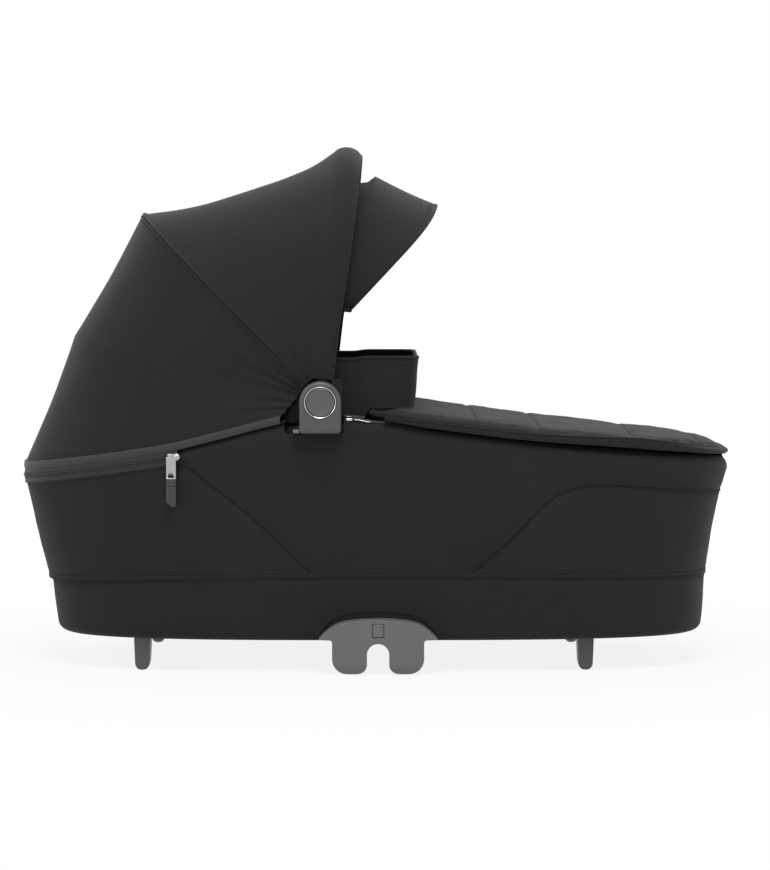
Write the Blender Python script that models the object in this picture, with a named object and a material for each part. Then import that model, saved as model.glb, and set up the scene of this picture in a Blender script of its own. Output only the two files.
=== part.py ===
# Carrycot for a pushchair: a fabric tub on a moulded tray, with a folding canopy, a sun visor,
# a padded apron with a wind flap, two hinge housings, two chassis adapters and four feet.
# Metres, +Z up. X runs along the cot with the head end at -X, and the feet stand on Z = 0.

import math

import bmesh
import bpy
from mathutils import Vector

# Clearances
seat_gap = 0.0003          # between pieces that touch
running_gap = 0.0006       # between pieces that slide or turn
cut_overrun = 0.004        # how far a cutter passes the face it opens

# Tub, outside of the fabric
rim_head_reach = 0.4291
rim_foot_reach = 0.4306
rim_half_width = 0.209
seam_head_draw = 0.0286    # how far each lower line is drawn in from the rim
seam_foot_draw = 0.0266
seam_side_draw = 0.012
band_head_draw = 0.0321
band_foot_draw = 0.0276
base_head_draw = 0.0411
base_foot_draw = 0.0326
base_side_draw = 0.019
rim_power = 2.8
seam_power = 3.0
base_power = 3.2
base_height = 0.038
seam_height = 0.117
seam_head_height = 0.1055
seam_foot_height = 0.1104
rim_head_height = 0.237
rim_peak_height = 0.3025
rim_foot_height = 0.251
rim_head_shares = [(0, 0), (0.49, 0.41), (0.66, 0.64), (0.88, 0.95), (1, 1)]
rim_foot_shares = [(0, 0), (0.40, 0.37), (0.68, 0.70), (0.87, 0.93), (1, 1)]
tub_columns = 48

# Walls of the tub
cover_wall = 0.0065
roll_radius = 0.0155
rim_tube_radius = 0.008
rim_tube_stub = 0.0015
lip_drop = 0.036
band_wall = 0.005
band_corner = 0.010
hem_width = 0.027
tray_wall = 0.003
tray_floor = 0.0042
tray_chamfer = 0.006
board_wall = 0.0025
board_drop = 0.029
lining_wall = 0.0115
post_wall = 0.0085
stay_radius = 0.004
stay_half_columns = 3
stay_bend = 0.010

# Mattress
mattress_thickness = 0.042
mattress_crown = 0.008
mattress_side_play = 0.002
mattress_edge_radius = 0.007

# Canopy hinge
hinge_x = -0.0651
hinge_rise = 0.0182        # above the rim's top there
hinge_z = rim_peak_height + hinge_rise
pin_radius = 0.004
pin_head_radius = 0.0065
pin_head_thickness = 0.0016
eye_radius = 0.012
leg_thickness = 0.004
leg_layer_pitch = 0.005
leg_half_width = 0.006
inner_plate_draw = 0.029
inner_plate_wall = 0.008
post_half_length = 0.025
post_shelf_rise = 0.0085
post_top_rise = 0.0243
notch_depth = 0.019
notch_head_margin = 0.017
notch_foot_margin = 0.0025

# Hinge housing and its button
housing_half_width = 0.0245
housing_reach = 0.017
housing_bevel = 0.003
button_radius = 0.0168
button_ring_radius = 0.0190
button_thickness = 0.0085
button_travel = 0.004
button_proud = 0.0004
spring_closed_length = 0.0024
spring_radius = 0.006
spring_wall = 0.0015

# Canopy bows, angles from +X upwards
front_bow_angle = 84.1
middle_bow_angle = 134.7
rear_bow_angle = 166.2
front_bow_radius = 0.2925
middle_bow_radius = 0.3040
rear_bow_radius = 0.3040
bow_power = 2.7
bow_rod_radius = 0.0045
bow_taper_start = 0.10
bow_taper_end = 0.16
bow_stations = 22
pad_half_width = 0.0165
pad_half_thickness = 0.012
pad_end_half_width = 0.0125
pad_end_half_thickness = 0.0062
pad_start = 0.127
pad_full = 0.21

# Canopy fabric
fabric_thickness = 0.0018
fabric_lift = 0.0022
seam_half_gap = 0.0011
panel_start = 0.036
front_sag = 0.013
middle_sag = 0.002
rear_sag = 0.002
panel_leave_share = 0.57
binding_height = 0.014
binding_thickness = 0.0024
binding_drop = 0.0085
binding_end_x = -0.112

# Zip round the head end
tape_height = 0.0167
tape_thickness = 0.0012
tape_end_x = -0.2328
slider_x = -0.2388
slider_length = 0.010
slider_height = 0.009
slider_thickness = 0.0040
slider_drop = 0.0105
pull_length = 0.027
pull_width = 0.008
pull_thickness = 0.0016
strap_length = 0.034
strap_thickness = 0.0020
pull_hang_rise = 0.0035

# Sun visor
visor_pivot_offset = 0.0346
visor_pivot_rise = 0.1071
visor_radius = 0.165
visor_draw = 0.034
visor_power = 2.2
visor_thickness = 0.0028
visor_rear_angle = 79.5
visor_front_angle = 47.0
visor_tip_angle = 50.5
visor_start = 0.004
visor_arm_half_width = 0.0065

# Apron
apron_front_x = -0.012
apron_step_x = 0.014
apron_step_length = 0.018
apron_front_draw = 0.021
apron_overhang = 0.002
apron_edge = 0.010
apron_edge_shoulder = 0.006
apron_crown = 0.007
apron_lift = 0.0008
apron_end_margin = 0.0035
channel_depth = 0.0030
channel_half_width = 0.007
channel_places = [0.115, 0.190, 0.298, 0.388]
apron_hinge_margin = 0.0004

# Wind flap
flap_front_x = 0.046
flap_wing_x = -0.030
flap_draw = 0.033
flap_corner = 0.025
flap_rise = 0.0715
flap_thickness = 0.003
flap_base_gap = 0.0012

# Apron zip pulls
apron_slider_x = -0.0365
apron_slider_length = 0.0085
apron_slider_width = 0.007
apron_slider_height = 0.0040
apron_pull_length = 0.034
apron_pull_pivot = 0.001

# Chassis adapters
adapter_x = 0.0025
adapter_reach = 0.006
adapter_wing = 0.0702
adapter_wing_height = 0.0425
adapter_top = 0.0655
adapter_fork_half_width = 0.0540
adapter_foot = 0.0012
adapter_slot_half_width = 0.0131
adapter_slot_top = 0.0373
adapter_lobe_radius = 0.0150
adapter_bevel = 0.0022
window_margin = 0.002
window_top_margin = 0.008
latch_width = 0.0134
latch_height = 0.0156
latch_z = 0.0527
latch_thickness = 0.0075
latch_travel = 0.003
latch_stop_gap = 0.0014
latch_bevel = 0.0012

# Feet
foot_head_draw = 0.1511
foot_end_draw = 0.1811
foot_side_draw = 0.035
foot_depth = 0.086
foot_top_half_length = 0.010
foot_half_length = 0.0075
foot_flat_half_length = 0.0020
foot_round = 0.009
foot_notch_margin = 0.001

# Screws
screw_shank_radius = 0.002
screw_head_radius = 0.0042
screw_head_height = 0.0024
foot_screw_length = 0.016
adapter_screw_length = 0.014
adapter_screw_spacing = 0.070
adapter_screw_z = 0.0600
screw_hole_gap = 0.0003

# Colours as linear RGB, roughness, metallic
black_fabric = ((0.017, 0.017, 0.018), 0.9, 0.0)
grey_zip = ((0.050, 0.050, 0.052), 0.8, 0.0)
grey_plastic = ((0.130, 0.130, 0.133), 0.5, 0.0)
black_plastic = ((0.020, 0.020, 0.021), 0.6, 0.0)
pale_fabric = ((0.300, 0.300, 0.305), 0.9, 0.0)
bright_metal = ((0.700, 0.700, 0.710), 0.2, 1.0)
satin_metal = ((0.450, 0.450, 0.460), 0.35, 1.0)
steel = ((0.350, 0.350, 0.360), 0.4, 1.0)

sides = {"left": 1, "right": -1}

# Places that follow from the sizes above
seam_half_width = rim_half_width - seam_side_draw
base_half_width = rim_half_width - base_side_draw
notch_height = rim_peak_height - notch_depth
inner_plate_face = rim_half_width - inner_plate_draw
housing_face = rim_half_width + housing_reach
button_recess = button_thickness - button_proud + button_travel + spring_closed_length
adapter_face = rim_half_width + adapter_reach
latch_recess = latch_thickness - button_proud + latch_travel + latch_stop_gap
foot_outer_y = base_half_width - foot_side_draw
foot_head_x = foot_head_draw - rim_head_reach
foot_end_x = rim_foot_reach - foot_end_draw
visor_pivot_x = hinge_x + visor_pivot_offset
visor_pivot_z = hinge_z + visor_pivot_rise
visor_half_width = rim_half_width - visor_draw
apron_front_half_width = rim_half_width - apron_front_draw
apron_pull_y = rim_half_width - roll_radius + running_gap
flap_half_width = rim_half_width - flap_draw
flap_top = rim_peak_height + flap_rise
tray_bottom = base_height + band_wall + seat_gap
tray_floor_top = tray_bottom + tray_floor
tray_inset = band_wall + 0.5 * running_gap
board_inset = cover_wall + running_gap
lining_inset = cover_wall + board_wall + 2 * running_gap + post_wall + running_gap

# Head reach, foot reach, half width and roundness of each line round the tub
rim_sizes = (rim_head_reach, rim_foot_reach, rim_half_width, rim_power)
seam_sizes = (rim_head_reach - seam_head_draw, rim_foot_reach - seam_foot_draw, seam_half_width,
              seam_power)
band_sizes = (rim_head_reach - band_head_draw, rim_foot_reach - band_foot_draw, seam_half_width,
              seam_power)
base_sizes = (rim_head_reach - base_head_draw, rim_foot_reach - base_foot_draw, base_half_width,
              base_power)


# Meshes

def add_solid(name, vertices, faces, finish, origin=(0, 0, 0)):
    """One closed body, with its origin at the given point and a material of its own."""
    mesh = bpy.data.meshes.new(name)
    base = Vector(origin)
    mesh.from_pydata([Vector(point) - base for point in vertices], [], faces)
    work = bmesh.new()
    work.from_mesh(mesh)
    bmesh.ops.recalc_face_normals(work, faces=work.faces)
    work.to_mesh(mesh)
    work.free()
    mesh.shade_smooth()
    mesh.set_sharp_from_angle(angle=math.radians(35))
    solid = bpy.data.objects.new(name, mesh)
    solid.location = base
    bpy.context.scene.collection.objects.link(solid)
    if finish:
        solid.data.materials.append(make_finish(name, finish))
    return solid


def make_finish(name, finish):
    colour, roughness, metallic = finish
    material = bpy.data.materials.new(name + "_finish")
    material.use_nodes = True
    shader = material.node_tree.nodes["Principled BSDF"]
    shader.inputs["Base Color"].default_value = (*colour, 1)
    shader.inputs["Roughness"].default_value = roughness
    shader.inputs["Metallic"].default_value = metallic
    return material


def add_loft(name, rings, finish, closed_run=False, origin=(0, 0, 0)):
    """Closed section loops joined along their run, with flat end caps unless the run closes."""
    count = len(rings[0])
    vertices = [point for ring in rings for point in ring]
    faces = []
    steps = len(rings) if closed_run else len(rings) - 1
    for step in range(steps):
        here = step * count
        there = (step + 1) % len(rings) * count
        for k in range(count):
            after = (k + 1) % count
            faces.append((here + k, here + after, there + after, there + k))
    if not closed_run:
        last = (len(rings) - 1) * count
        faces.append(tuple(range(count)))
        faces.append(tuple(last + k for k in reversed(range(count))))
    return add_solid(name, vertices, faces, finish, origin)


def add_sheet(name, outer, inner, finish, origin=(0, 0, 0)):
    """A sheet with thickness: two grids of rows and columns, joined all round their edges."""
    rows = len(outer)
    columns = len(outer[0])
    vertices = [point for grid in (outer, inner) for row in grid for point in row]
    back = rows * columns
    faces = []
    for r in range(rows - 1):
        for c in range(columns - 1):
            a = r * columns + c
            quad = (a, a + 1, a + columns + 1, a + columns)
            faces.append(quad)
            faces.append(tuple(back + v for v in reversed(quad)))
    edge = [c for c in range(columns)]
    edge += [r * columns + columns - 1 for r in range(1, rows)]
    edge += [(rows - 1) * columns + c for c in reversed(range(columns - 1))]
    edge += [r * columns for r in reversed(range(1, rows - 1))]
    for k, v in enumerate(edge):
        after = edge[(k + 1) % len(edge)]
        faces.append((v, back + v, back + after, after))
    return add_solid(name, vertices, faces, finish, origin)


def add_tube(name, path, half_sizes, finish, sides_round=8, across=None, origin=(0, 0, 0)):
    """A bar along a path. half_sizes gives each station's half thickness and half width."""
    rings = []
    reference = across
    for k, point in enumerate(path):
        before = path[max(k - 1, 0)]
        after = path[min(k + 1, len(path) - 1)]
        run = (after - before).normalized()
        if across is None:
            seed = reference if reference is not None else Vector((0, 0, 1))
            reference = (seed - run * seed.dot(run)).normalized()
            wide = reference
        else:
            wide = (across - run * across.dot(run)).normalized()
        thick = wide.cross(run)
        half_thick, half_wide = half_sizes[k]
        ring = []
        for n in range(sides_round):
            turn = math.tau * (n + 0.5) / sides_round
            ring.append(point + thick * half_thick * math.cos(turn) + wide * half_wide * math.sin(turn))
        rings.append(ring)
    return add_loft(name, rings, finish, origin=origin)


def add_turned(name, profile, centre, direction, finish, sides_round=16, bored=False, origin=None):
    """A turned piece: (radius, distance) pairs about a line through centre along direction."""
    axis = Vector(direction).normalized()
    seed = Vector((0, 0, 1)) if abs(axis.z) < 0.9 else Vector((1, 0, 0))
    first = (seed - axis * seed.dot(axis)).normalized()
    second = axis.cross(first)
    middle = Vector(centre)

    def place(radius, distance, turn):
        return middle + axis * distance + (first * math.cos(turn) + second * math.sin(turn)) * radius

    turns = [math.tau * (n + 0.5) / sides_round for n in range(sides_round)]
    home = centre if origin is None else origin
    if bored:
        rings = [[place(r, d, turn) for r, d in profile] for turn in turns]
        return add_loft(name, rings, finish, closed_run=True, origin=home)
    rings = [[place(r, d, turn) for turn in turns] for r, d in profile]
    return add_loft(name, rings, finish, origin=home)


def add_prism(name, outline, start, end, place, finish, origin=(0, 0, 0)):
    """An outline extruded from start to end; place turns (a, b, depth) into a point."""
    rings = [[place(a, b, depth) for a, b in outline] for depth in (start, end)]
    return add_loft(name, rings, finish, origin=origin)


def add_plate(name, centre, along, up, sizes, finish, origin=(0, 0, 0)):
    """A plain block: length along one direction, height along another, and thickness."""
    run = Vector(along).normalized()
    rise = Vector(up).normalized()
    out = run.cross(rise)
    length, height, thickness = sizes
    corners = [(-1, -1), (1, -1), (1, 1), (-1, 1)]
    rings = []
    for end in (-1, 1):
        offset = Vector(centre) + out * (end * thickness / 2)
        rings.append([offset + run * (a * length / 2) + rise * (b * height / 2) for a, b in corners])
    return add_loft(name, rings, finish, origin=origin)


def as_cutter(solid):
    solid.hide_render = True
    solid.display_type = "WIRE"
    return solid


def combine(solid, other, operation):
    cut = solid.modifiers.new(operation.title(), "BOOLEAN")
    cut.object = as_cutter(other)
    cut.operation = operation
    cut.solver = "EXACT"


def round_edges(solid, width, segments=2):
    bevel = solid.modifiers.new("Bevel", "BEVEL")
    bevel.width = width
    bevel.segments = segments
    bevel.limit_method = "ANGLE"
    bevel.angle_limit = math.radians(50)


# Curves

def mix(a, b, share):
    return a + (b - a) * share


def smooth_between(pairs, at):
    """A smooth curve through hand-set (place, height) pairs, level at the last one."""
    slopes = []
    for k in range(len(pairs)):
        low = pairs[max(k - 1, 0)]
        high = pairs[min(k + 1, len(pairs) - 1)]
        slopes.append((high[1] - low[1]) / (high[0] - low[0]))
    slopes[-1] = 0
    at = min(max(at, 0), 1)
    k = 0
    while k < len(pairs) - 2 and at > pairs[k + 1][0]:
        k += 1
    (x0, y0), (x1, y1) = pairs[k], pairs[k + 1]
    width = x1 - x0
    t = (at - x0) / width
    rise = (1 + 2 * t) * (1 - t) ** 2 * y0 + t * t * (3 - 2 * t) * y1
    lean = t * (1 - t) ** 2 * slopes[k] - t * t * (1 - t) * slopes[k + 1]
    return rise + lean * width


def even_stations(curve, start, end, count, closed=False):
    """Values between start and end that part a curve into equal lengths."""
    fine = 900
    values = [mix(start, end, n / fine) for n in range(fine + 1)]
    points = [curve(v) for v in values]
    lengths = [0]
    for a, b in zip(points, points[1:]):
        lengths.append(lengths[-1] + (b - a).length)
    gaps = count if closed else count - 1
    chosen = []
    k = 0
    for n in range(count):
        wanted = lengths[-1] * n / gaps
        while k < fine - 1 and lengths[k + 1] < wanted:
            k += 1
        part = (wanted - lengths[k]) / max(lengths[k + 1] - lengths[k], 1e-12)
        chosen.append(mix(values[k], values[k + 1], part))
    return chosen


def rim_height_at(x):
    if x < hinge_x:
        place = (x + rim_head_reach) / (hinge_x + rim_head_reach)
        return mix(rim_head_height, rim_peak_height, smooth_between(rim_head_shares, place))
    place = (rim_foot_reach - x) / (rim_foot_reach - hinge_x)
    return mix(rim_foot_height, rim_peak_height, smooth_between(rim_foot_shares, place))


def seam_height_at(x):
    end = seam_head_height if x < 0 else seam_foot_height
    reach = rim_head_reach if x < 0 else rim_foot_reach
    return mix(seam_height, end, (x / reach) ** 2)


def plan_point(turn, sizes, inset=0):
    """Where a direction in plan meets a rounded-rectangle outline drawn in by an inset."""
    head, foot, half, power = sizes
    c = math.cos(turn)
    s = math.sin(turn)
    reach = (foot if c > 0 else head) - inset
    x = math.copysign(abs(c) ** (2 / power) * reach, c)
    y = math.copysign(abs(s) ** (2 / power) * (half - inset), s)
    return x, y


def rim_point(turn, inset, drop):
    """A point at the rim: inset from the tub's outermost line, drop below the rim's top."""
    line_x, _ = plan_point(turn, rim_sizes)
    x, y = plan_point(turn, rim_sizes, inset)
    return Vector((x, y, rim_height_at(line_x) - drop))


def rim_steepness(turn):
    """Length along the rim for each unit of length in plan."""
    step = 0.01
    run = rim_point(turn + step, 0, 0) - rim_point(turn - step, 0, 0)
    return run.length / math.hypot(run.x, run.y)


def wall_point(turn, share, inset, lift=0):
    """A point on the wall, from the seam at share 0 to the rim's widest line at share 1."""
    line_x, _ = plan_point(turn, rim_sizes)
    low = seam_height_at(line_x)
    high = rim_height_at(line_x) - roll_radius
    sizes = [mix(a, b, share) for a, b in zip(seam_sizes, rim_sizes)]
    x, y = plan_point(turn, sizes, inset)
    return Vector((x, y, mix(low, high, share) + lift))


def wall_drop(turn, drop, inset):
    """A point on the wall at a height given as a drop below the rim's top."""
    line_x, _ = plan_point(turn, rim_sizes)
    low = seam_height_at(line_x)
    high = rim_height_at(line_x) - roll_radius
    share = (rim_height_at(line_x) - drop - low) / (high - low)
    return wall_point(turn, share, inset)


def band_point(turn, share, inset, lift=0):
    """A point on the lower band, from the underside at share 0 to the seam at share 1."""
    line_x, _ = plan_point(turn, rim_sizes)
    sizes = [mix(a, b, share) for a, b in zip(base_sizes, band_sizes)]
    x, y = plan_point(turn, sizes, inset)
    return Vector((x, y, mix(base_height, seam_height_at(line_x), share) + lift))


def band_level(turn, z, inset):
    """A point on the lower band at a given height."""
    line_x, _ = plan_point(turn, rim_sizes)
    share = (z - base_height) / (seam_height_at(line_x) - base_height)
    point = band_point(turn, share, inset)
    return point


def plan_turn(x, sizes=rim_sizes):
    """The turn, on the left side, at which the outline passes an x."""
    head, foot, _, power = sizes
    reach = foot if x > 0 else head
    c = math.copysign((abs(x) / reach) ** (power / 2), x)
    return math.acos(c)


def side_half_width(z, inset, x):
    """Half width of the tub at a height and a place along it near the hinge."""
    seam = seam_height_at(hinge_x)
    if z < seam:
        sizes = [mix(a, b, (z - base_height) / (seam - base_height)) for a, b in zip(base_sizes, band_sizes)]
    else:
        high = rim_height_at(hinge_x) - roll_radius
        sizes = [mix(a, b, min((z - seam) / (high - seam), 1)) for a, b in zip(seam_sizes, rim_sizes)]
    head, foot, half, power = sizes
    reach = (foot if x > 0 else head) - inset
    return (half - inset) * (1 - (abs(x) / reach) ** power) ** (1 / power)


rim_turns = even_stations(lambda t: rim_point(t, 0, 0), 0, math.tau, tub_columns, closed=True)

def along_columns(point_at, start, end):
    """Points over the tub's own columns from start to end, with both ends on its flat facets."""
    turns = [t + lap for lap in (-math.tau, 0, math.tau) for t in rim_turns]

    def on_facet(turn):
        k = max(n for n in range(len(turns)) if turns[n] <= turn)
        share = (turn - turns[k]) / (turns[k + 1] - turns[k])
        return point_at(turns[k]).lerp(point_at(turns[k + 1]), share)

    between = [point_at(t) for t in turns if start + 1e-4 < t < end - 1e-4]
    return [on_facet(start)] + between + [on_facet(end)]


# Tub

def build_tray():
    """Moulded tray: the floor with a low wall that the fabric band hides."""
    toe = tray_inset + tray_chamfer
    inner = tray_inset + tray_wall
    rings = [
        [band_level(t, tray_bottom, toe) for t in rim_turns],
        [band_level(t, tray_bottom + tray_chamfer, tray_inset) for t in rim_turns],
        [band_point(t, 1, tray_inset, -seat_gap) for t in rim_turns],
        [band_point(t, 1, inner, -seat_gap) for t in rim_turns],
        [band_level(t, tray_floor_top, inner) for t in rim_turns],
    ]
    tray = add_loft("base_tray", rings, black_plastic)
    for x in (foot_head_x, foot_end_x):
        for side in sides.values():
            hole = foot_screw_solid("tray_hole_cutter", x, side, screw_hole_gap)
            combine(tray, hole, "DIFFERENCE")
    for side in sides.values():
        for end in (-1, 1):
            hole = adapter_screw_solid("tray_side_hole_cutter", end, side, screw_hole_gap)
            combine(tray, hole, "DIFFERENCE")


def build_lower_band():
    """Fabric band round the tray, turned under it as a hem and cut out over the adapters."""
    rings = []
    hem_top = base_height + band_wall
    for t in rim_turns:
        rings.append([
            band_point(t, 1, 0, -seat_gap),
            band_point(t, 0.5, 0),
            band_level(t, base_height + band_corner, 0),
            band_level(t, base_height + band_corner * (1 - math.sqrt(0.5)),
                       band_corner * (1 - math.sqrt(0.5))),
            band_level(t, base_height, band_corner),
            band_level(t, base_height, hem_width),
            band_level(t, hem_top, hem_width),
            band_level(t, hem_top, band_corner),
            band_level(t, base_height + band_corner, band_wall),
            band_point(t, 1, band_wall, -seat_gap),
        ])
    band = add_loft("lower_band", rings, black_fabric, closed_run=True)
    for side in sides.values():
        outline = adapter_window()
        window = add_prism("window_cutter", outline, adapter_back() - window_margin * 2,
                           adapter_face, side_place(side, adapter_x), None)
        combine(band, window, "DIFFERENCE")
        for x in (foot_head_x, foot_end_x):
            half = foot_top_half_length + foot_notch_margin
            outline = [(-half, base_height - cut_overrun), (half, base_height - cut_overrun),
                       (half, hem_top + seat_gap), (-half, hem_top + seat_gap)]
            notch = add_prism("foot_notch_cutter", outline, foot_outer_y - foot_depth,
                              foot_outer_y + foot_notch_margin, side_place(side, x), None)
            combine(band, notch, "DIFFERENCE")


def build_body_cover():
    """Padded fabric wall that rolls over the rim tube and turns down inside."""
    bore_step = 45
    bore = (rim_tube_radius + running_gap) / math.cos(math.radians(bore_step / 2))
    rings = []
    for t in rim_turns:
        ring = [wall_point(t, share, 0) for share in (0, 0.5)]
        for degrees in (0, 45, 90, 135):
            a = math.radians(degrees)
            ring.append(rim_point(t, roll_radius * (1 - math.cos(a)), roll_radius * (1 - math.sin(a))))
        ring.append(rim_point(t, 2 * roll_radius, roll_radius))
        ring.append(rim_point(t, 2 * roll_radius, lip_drop))
        ring.append(rim_point(t, roll_radius + bore, lip_drop))
        steep = rim_steepness(t)
        for degrees in range(180, -1, -bore_step):
            a = math.radians(degrees)
            ring.append(rim_point(t, roll_radius - bore * math.cos(a),
                                  roll_radius - bore * steep * math.sin(a)))
        ring.append(wall_point(t, 0, cover_wall))
        rings.append(ring)
    cover = add_loft("body_cover", rings, black_fabric, closed_run=True)
    for side in sides.values():
        low_x = hinge_x - post_half_length - notch_head_margin
        high_x = hinge_x + post_half_length + notch_foot_margin
        outline = [(low_x, notch_height), (high_x, notch_height),
                   (high_x, rim_peak_height + cut_overrun), (low_x, rim_peak_height + cut_overrun)]
        inner = rim_half_width - 2 * roll_radius - cut_overrun
        notch = add_prism("notch_cutter", outline, inner, rim_half_width + cut_overrun,
                          side_place(side, 0), None)
        combine(cover, notch, "DIFFERENCE")


def build_wall_board():
    """Thin plastic stiffener that stands on the tray inside the cover."""
    outer = board_inset
    inner = board_inset + board_wall
    rings = []
    for t in rim_turns:
        rings.append([
            wall_point(t, 0, outer, seat_gap),
            wall_drop(t, board_drop, outer),
            wall_drop(t, board_drop, inner),
            wall_point(t, 0, inner, seat_gap),
        ])
    add_loft("wall_board", rings, black_plastic, closed_run=True)


def build_lining():
    """Padded inner lining, from the tray floor up to the cover's inner lip."""
    inner = lining_inset + lining_wall
    floor = tray_floor_top + seat_gap
    drop = lip_drop + running_gap
    rings = []
    for t in rim_turns:
        rings.append([
            band_level(t, floor, lining_inset),
            band_point(t, 1, lining_inset),
            wall_drop(t, drop, lining_inset),
            wall_drop(t, drop, inner),
            band_point(t, 1, inner + running_gap),
            band_level(t, floor, inner),
        ])
    add_loft("lining", rings, pale_fabric, closed_run=True)


def build_mattress():
    """Foam mattress: drawn in at the edges and crowned on top."""
    low = tray_floor_top + seat_gap
    top = low + mattress_thickness
    edge = lining_inset + lining_wall + mattress_side_play
    radius = mattress_edge_radius
    levels = [
        (low, edge + radius),
        (low + radius, edge),
        (mix(low, top, 0.5), edge - 0.25 * mattress_side_play),
        (top - radius, edge + 0.3 * radius),
        (top, edge + 2 * radius),
        (top + 0.55 * mattress_crown, edge + 7 * radius),
        (top + mattress_crown, edge + 16 * radius),
    ]
    turns = rim_turns[::2]
    rings = [[band_level(t, z, inset) for t in turns] for z, inset in levels]
    add_loft("mattress", rings, pale_fabric)


def build_rim_tubes():
    """Two aluminium tubes under the fabric roll, ending at the hinge posts."""
    low_x = hinge_x - post_half_length - seat_gap
    high_x = hinge_x + post_half_length + seat_gap
    inner_sizes = tuple(size - roll_radius for size in rim_sizes[:3]) + (rim_power,)
    spans = {
        "rim_tube_head": (plan_turn(low_x, inner_sizes), math.tau - plan_turn(low_x, inner_sizes)),
        "rim_tube_foot": (-plan_turn(high_x, inner_sizes), plan_turn(high_x, inner_sizes)),
    }
    ends = {"rim_tube_head": low_x, "rim_tube_foot": high_x}
    for name, (start, end) in spans.items():
        path = along_columns(lambda t: rim_point(t, roll_radius, roll_radius), start, end)
        stub = math.copysign(rim_tube_stub, path[1].x - path[0].x)
        path[0] = Vector((ends[name] + stub, path[0].y, path[0].z))
        path[-1] = Vector((ends[name] + stub, path[-1].y, path[-1].z))
        first = Vector((ends[name], path[0].y, path[0].z))
        last = Vector((ends[name], path[-1].y, path[-1].z))
        path = [first] + path + [last]
        add_tube(name, path, [(rim_tube_radius, rim_tube_radius)] * len(path), satin_metal)


def build_stays():
    """Bent steel rods that hold the rim tube up at each end of the tray."""
    inset = cover_wall + board_wall + 3 * running_gap + stay_radius
    run_drop = roll_radius + rim_tube_radius + seat_gap + stay_radius
    half_turn = len(rim_turns) // 2
    for name, middle in (("head_stay", half_turn), ("foot_stay", 0)):
        columns = [rim_turns[(middle + n) % len(rim_turns)]
                   for n in range(-stay_half_columns, stay_half_columns + 1)]
        run = [wall_drop(t, run_drop, inset) for t in columns]
        legs = []
        for t in (columns[0], columns[-1]):
            legs.append([
                band_level(t, tray_floor_top + seat_gap + 0.3 * stay_radius, inset),
                band_point(t, 1, inset + running_gap),
                wall_point(t, 0.5, inset),
                wall_drop(t, run_drop + stay_bend, inset),
            ])
        start = run[0].lerp(run[1], stay_bend / (run[1] - run[0]).length)
        end = run[-1].lerp(run[-2], stay_bend / (run[-1] - run[-2]).length)
        path = legs[0] + [start] + run[1:-1] + [end] + legs[1][::-1]
        add_tube(name, path, [(stay_radius, stay_radius)] * len(path), steel, sides_round=6)


def side_place(side, centre_x):
    """Puts an (x, z) outline and a depth out from the middle on one side of the cot."""
    def place(a, b, depth):
        return Vector((centre_x + a, side * depth, b))
    return place


def build_side_post(name, side):
    """Moulded post inside the wall: stands in the tray and carries the canopy's pivot."""
    outer_inset = cover_wall + board_wall + 2 * running_gap
    inner_inset = outer_inset + post_wall
    foot = tray_floor_top + seat_gap
    step = notch_height + seat_gap
    shelf = notch_height + post_shelf_rise
    top = hinge_z + post_top_rise
    seam = seam_height_at(hinge_x)
    plate_outer = inner_plate_face + inner_plate_wall
    narrow_x = hinge_x - post_half_length
    wide_x = hinge_x + post_half_length
    outline = [(side_half_width(z, outer_inset, narrow_x), z) for z in (foot, seam, shelf)]
    outline += [(plate_outer, shelf), (plate_outer, top), (inner_plate_face, top), (inner_plate_face, step)]
    outline += [(side_half_width(z, inner_inset, wide_x), z) for z in (step, seam, foot)]

    def place(a, b, depth):
        return Vector((hinge_x + depth, side * a, b))

    post = add_prism(name, outline, -post_half_length, post_half_length, place, black_plastic)
    hole = add_turned("pin_hole_cutter",
                      [(pin_radius + seat_gap, inner_plate_face - cut_overrun),
                       (pin_radius + seat_gap, plate_outer + cut_overrun)],
                      (hinge_x, 0, hinge_z), (0, side, 0), None, sides_round=12)
    combine(post, hole, "DIFFERENCE")


# Hinge

def housing_inner_face():
    return plate_layer(2) + leg_thickness / 2 + running_gap


def plate_layer(layer):
    """How far out a bow's leg lies at the hinge: layer 0 is next to the post."""
    inner = inner_plate_face + inner_plate_wall + running_gap + leg_thickness / 2
    return inner + layer * leg_layer_pitch


def build_pivot_pin(name, side):
    inner = inner_plate_face - seat_gap
    end = housing_inner_face() + leg_thickness
    profile = [(pin_head_radius, inner - pin_head_thickness), (pin_head_radius, inner),
               (pin_radius, inner), (pin_radius, end)]
    add_turned(name, profile, (hinge_x, 0, hinge_z), (0, side, 0), steel, sides_round=12)


def build_housing(name, side):
    """Arched cap over the hinge with a round recess for the button."""
    inner = housing_inner_face()
    outline = [(-housing_half_width, notch_height + running_gap),
               (housing_half_width, notch_height + running_gap)]
    steps = 12
    for n in range(steps + 1):
        a = math.pi * n / steps
        outline.append((housing_half_width * math.cos(a), hinge_z + housing_half_width * math.sin(a)))
    housing = add_prism(name, outline, inner, housing_face, side_place(side, hinge_x), grey_plastic)
    round_edges(housing, housing_bevel)
    recess = add_turned("recess_cutter",
                        [(button_ring_radius + seat_gap, housing_face - button_recess),
                         (button_ring_radius + seat_gap, housing_face + cut_overrun)],
                        (hinge_x, 0, hinge_z), (0, side, 0), None, sides_round=24)
    combine(housing, recess, "DIFFERENCE")
    hole = add_turned("housing_hole_cutter",
                      [(pin_radius + seat_gap, inner - cut_overrun),
                       (pin_radius + seat_gap, inner + leg_thickness + seat_gap)],
                      (hinge_x, 0, hinge_z), (0, side, 0), None, sides_round=12)
    combine(housing, hole, "DIFFERENCE")


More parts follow.
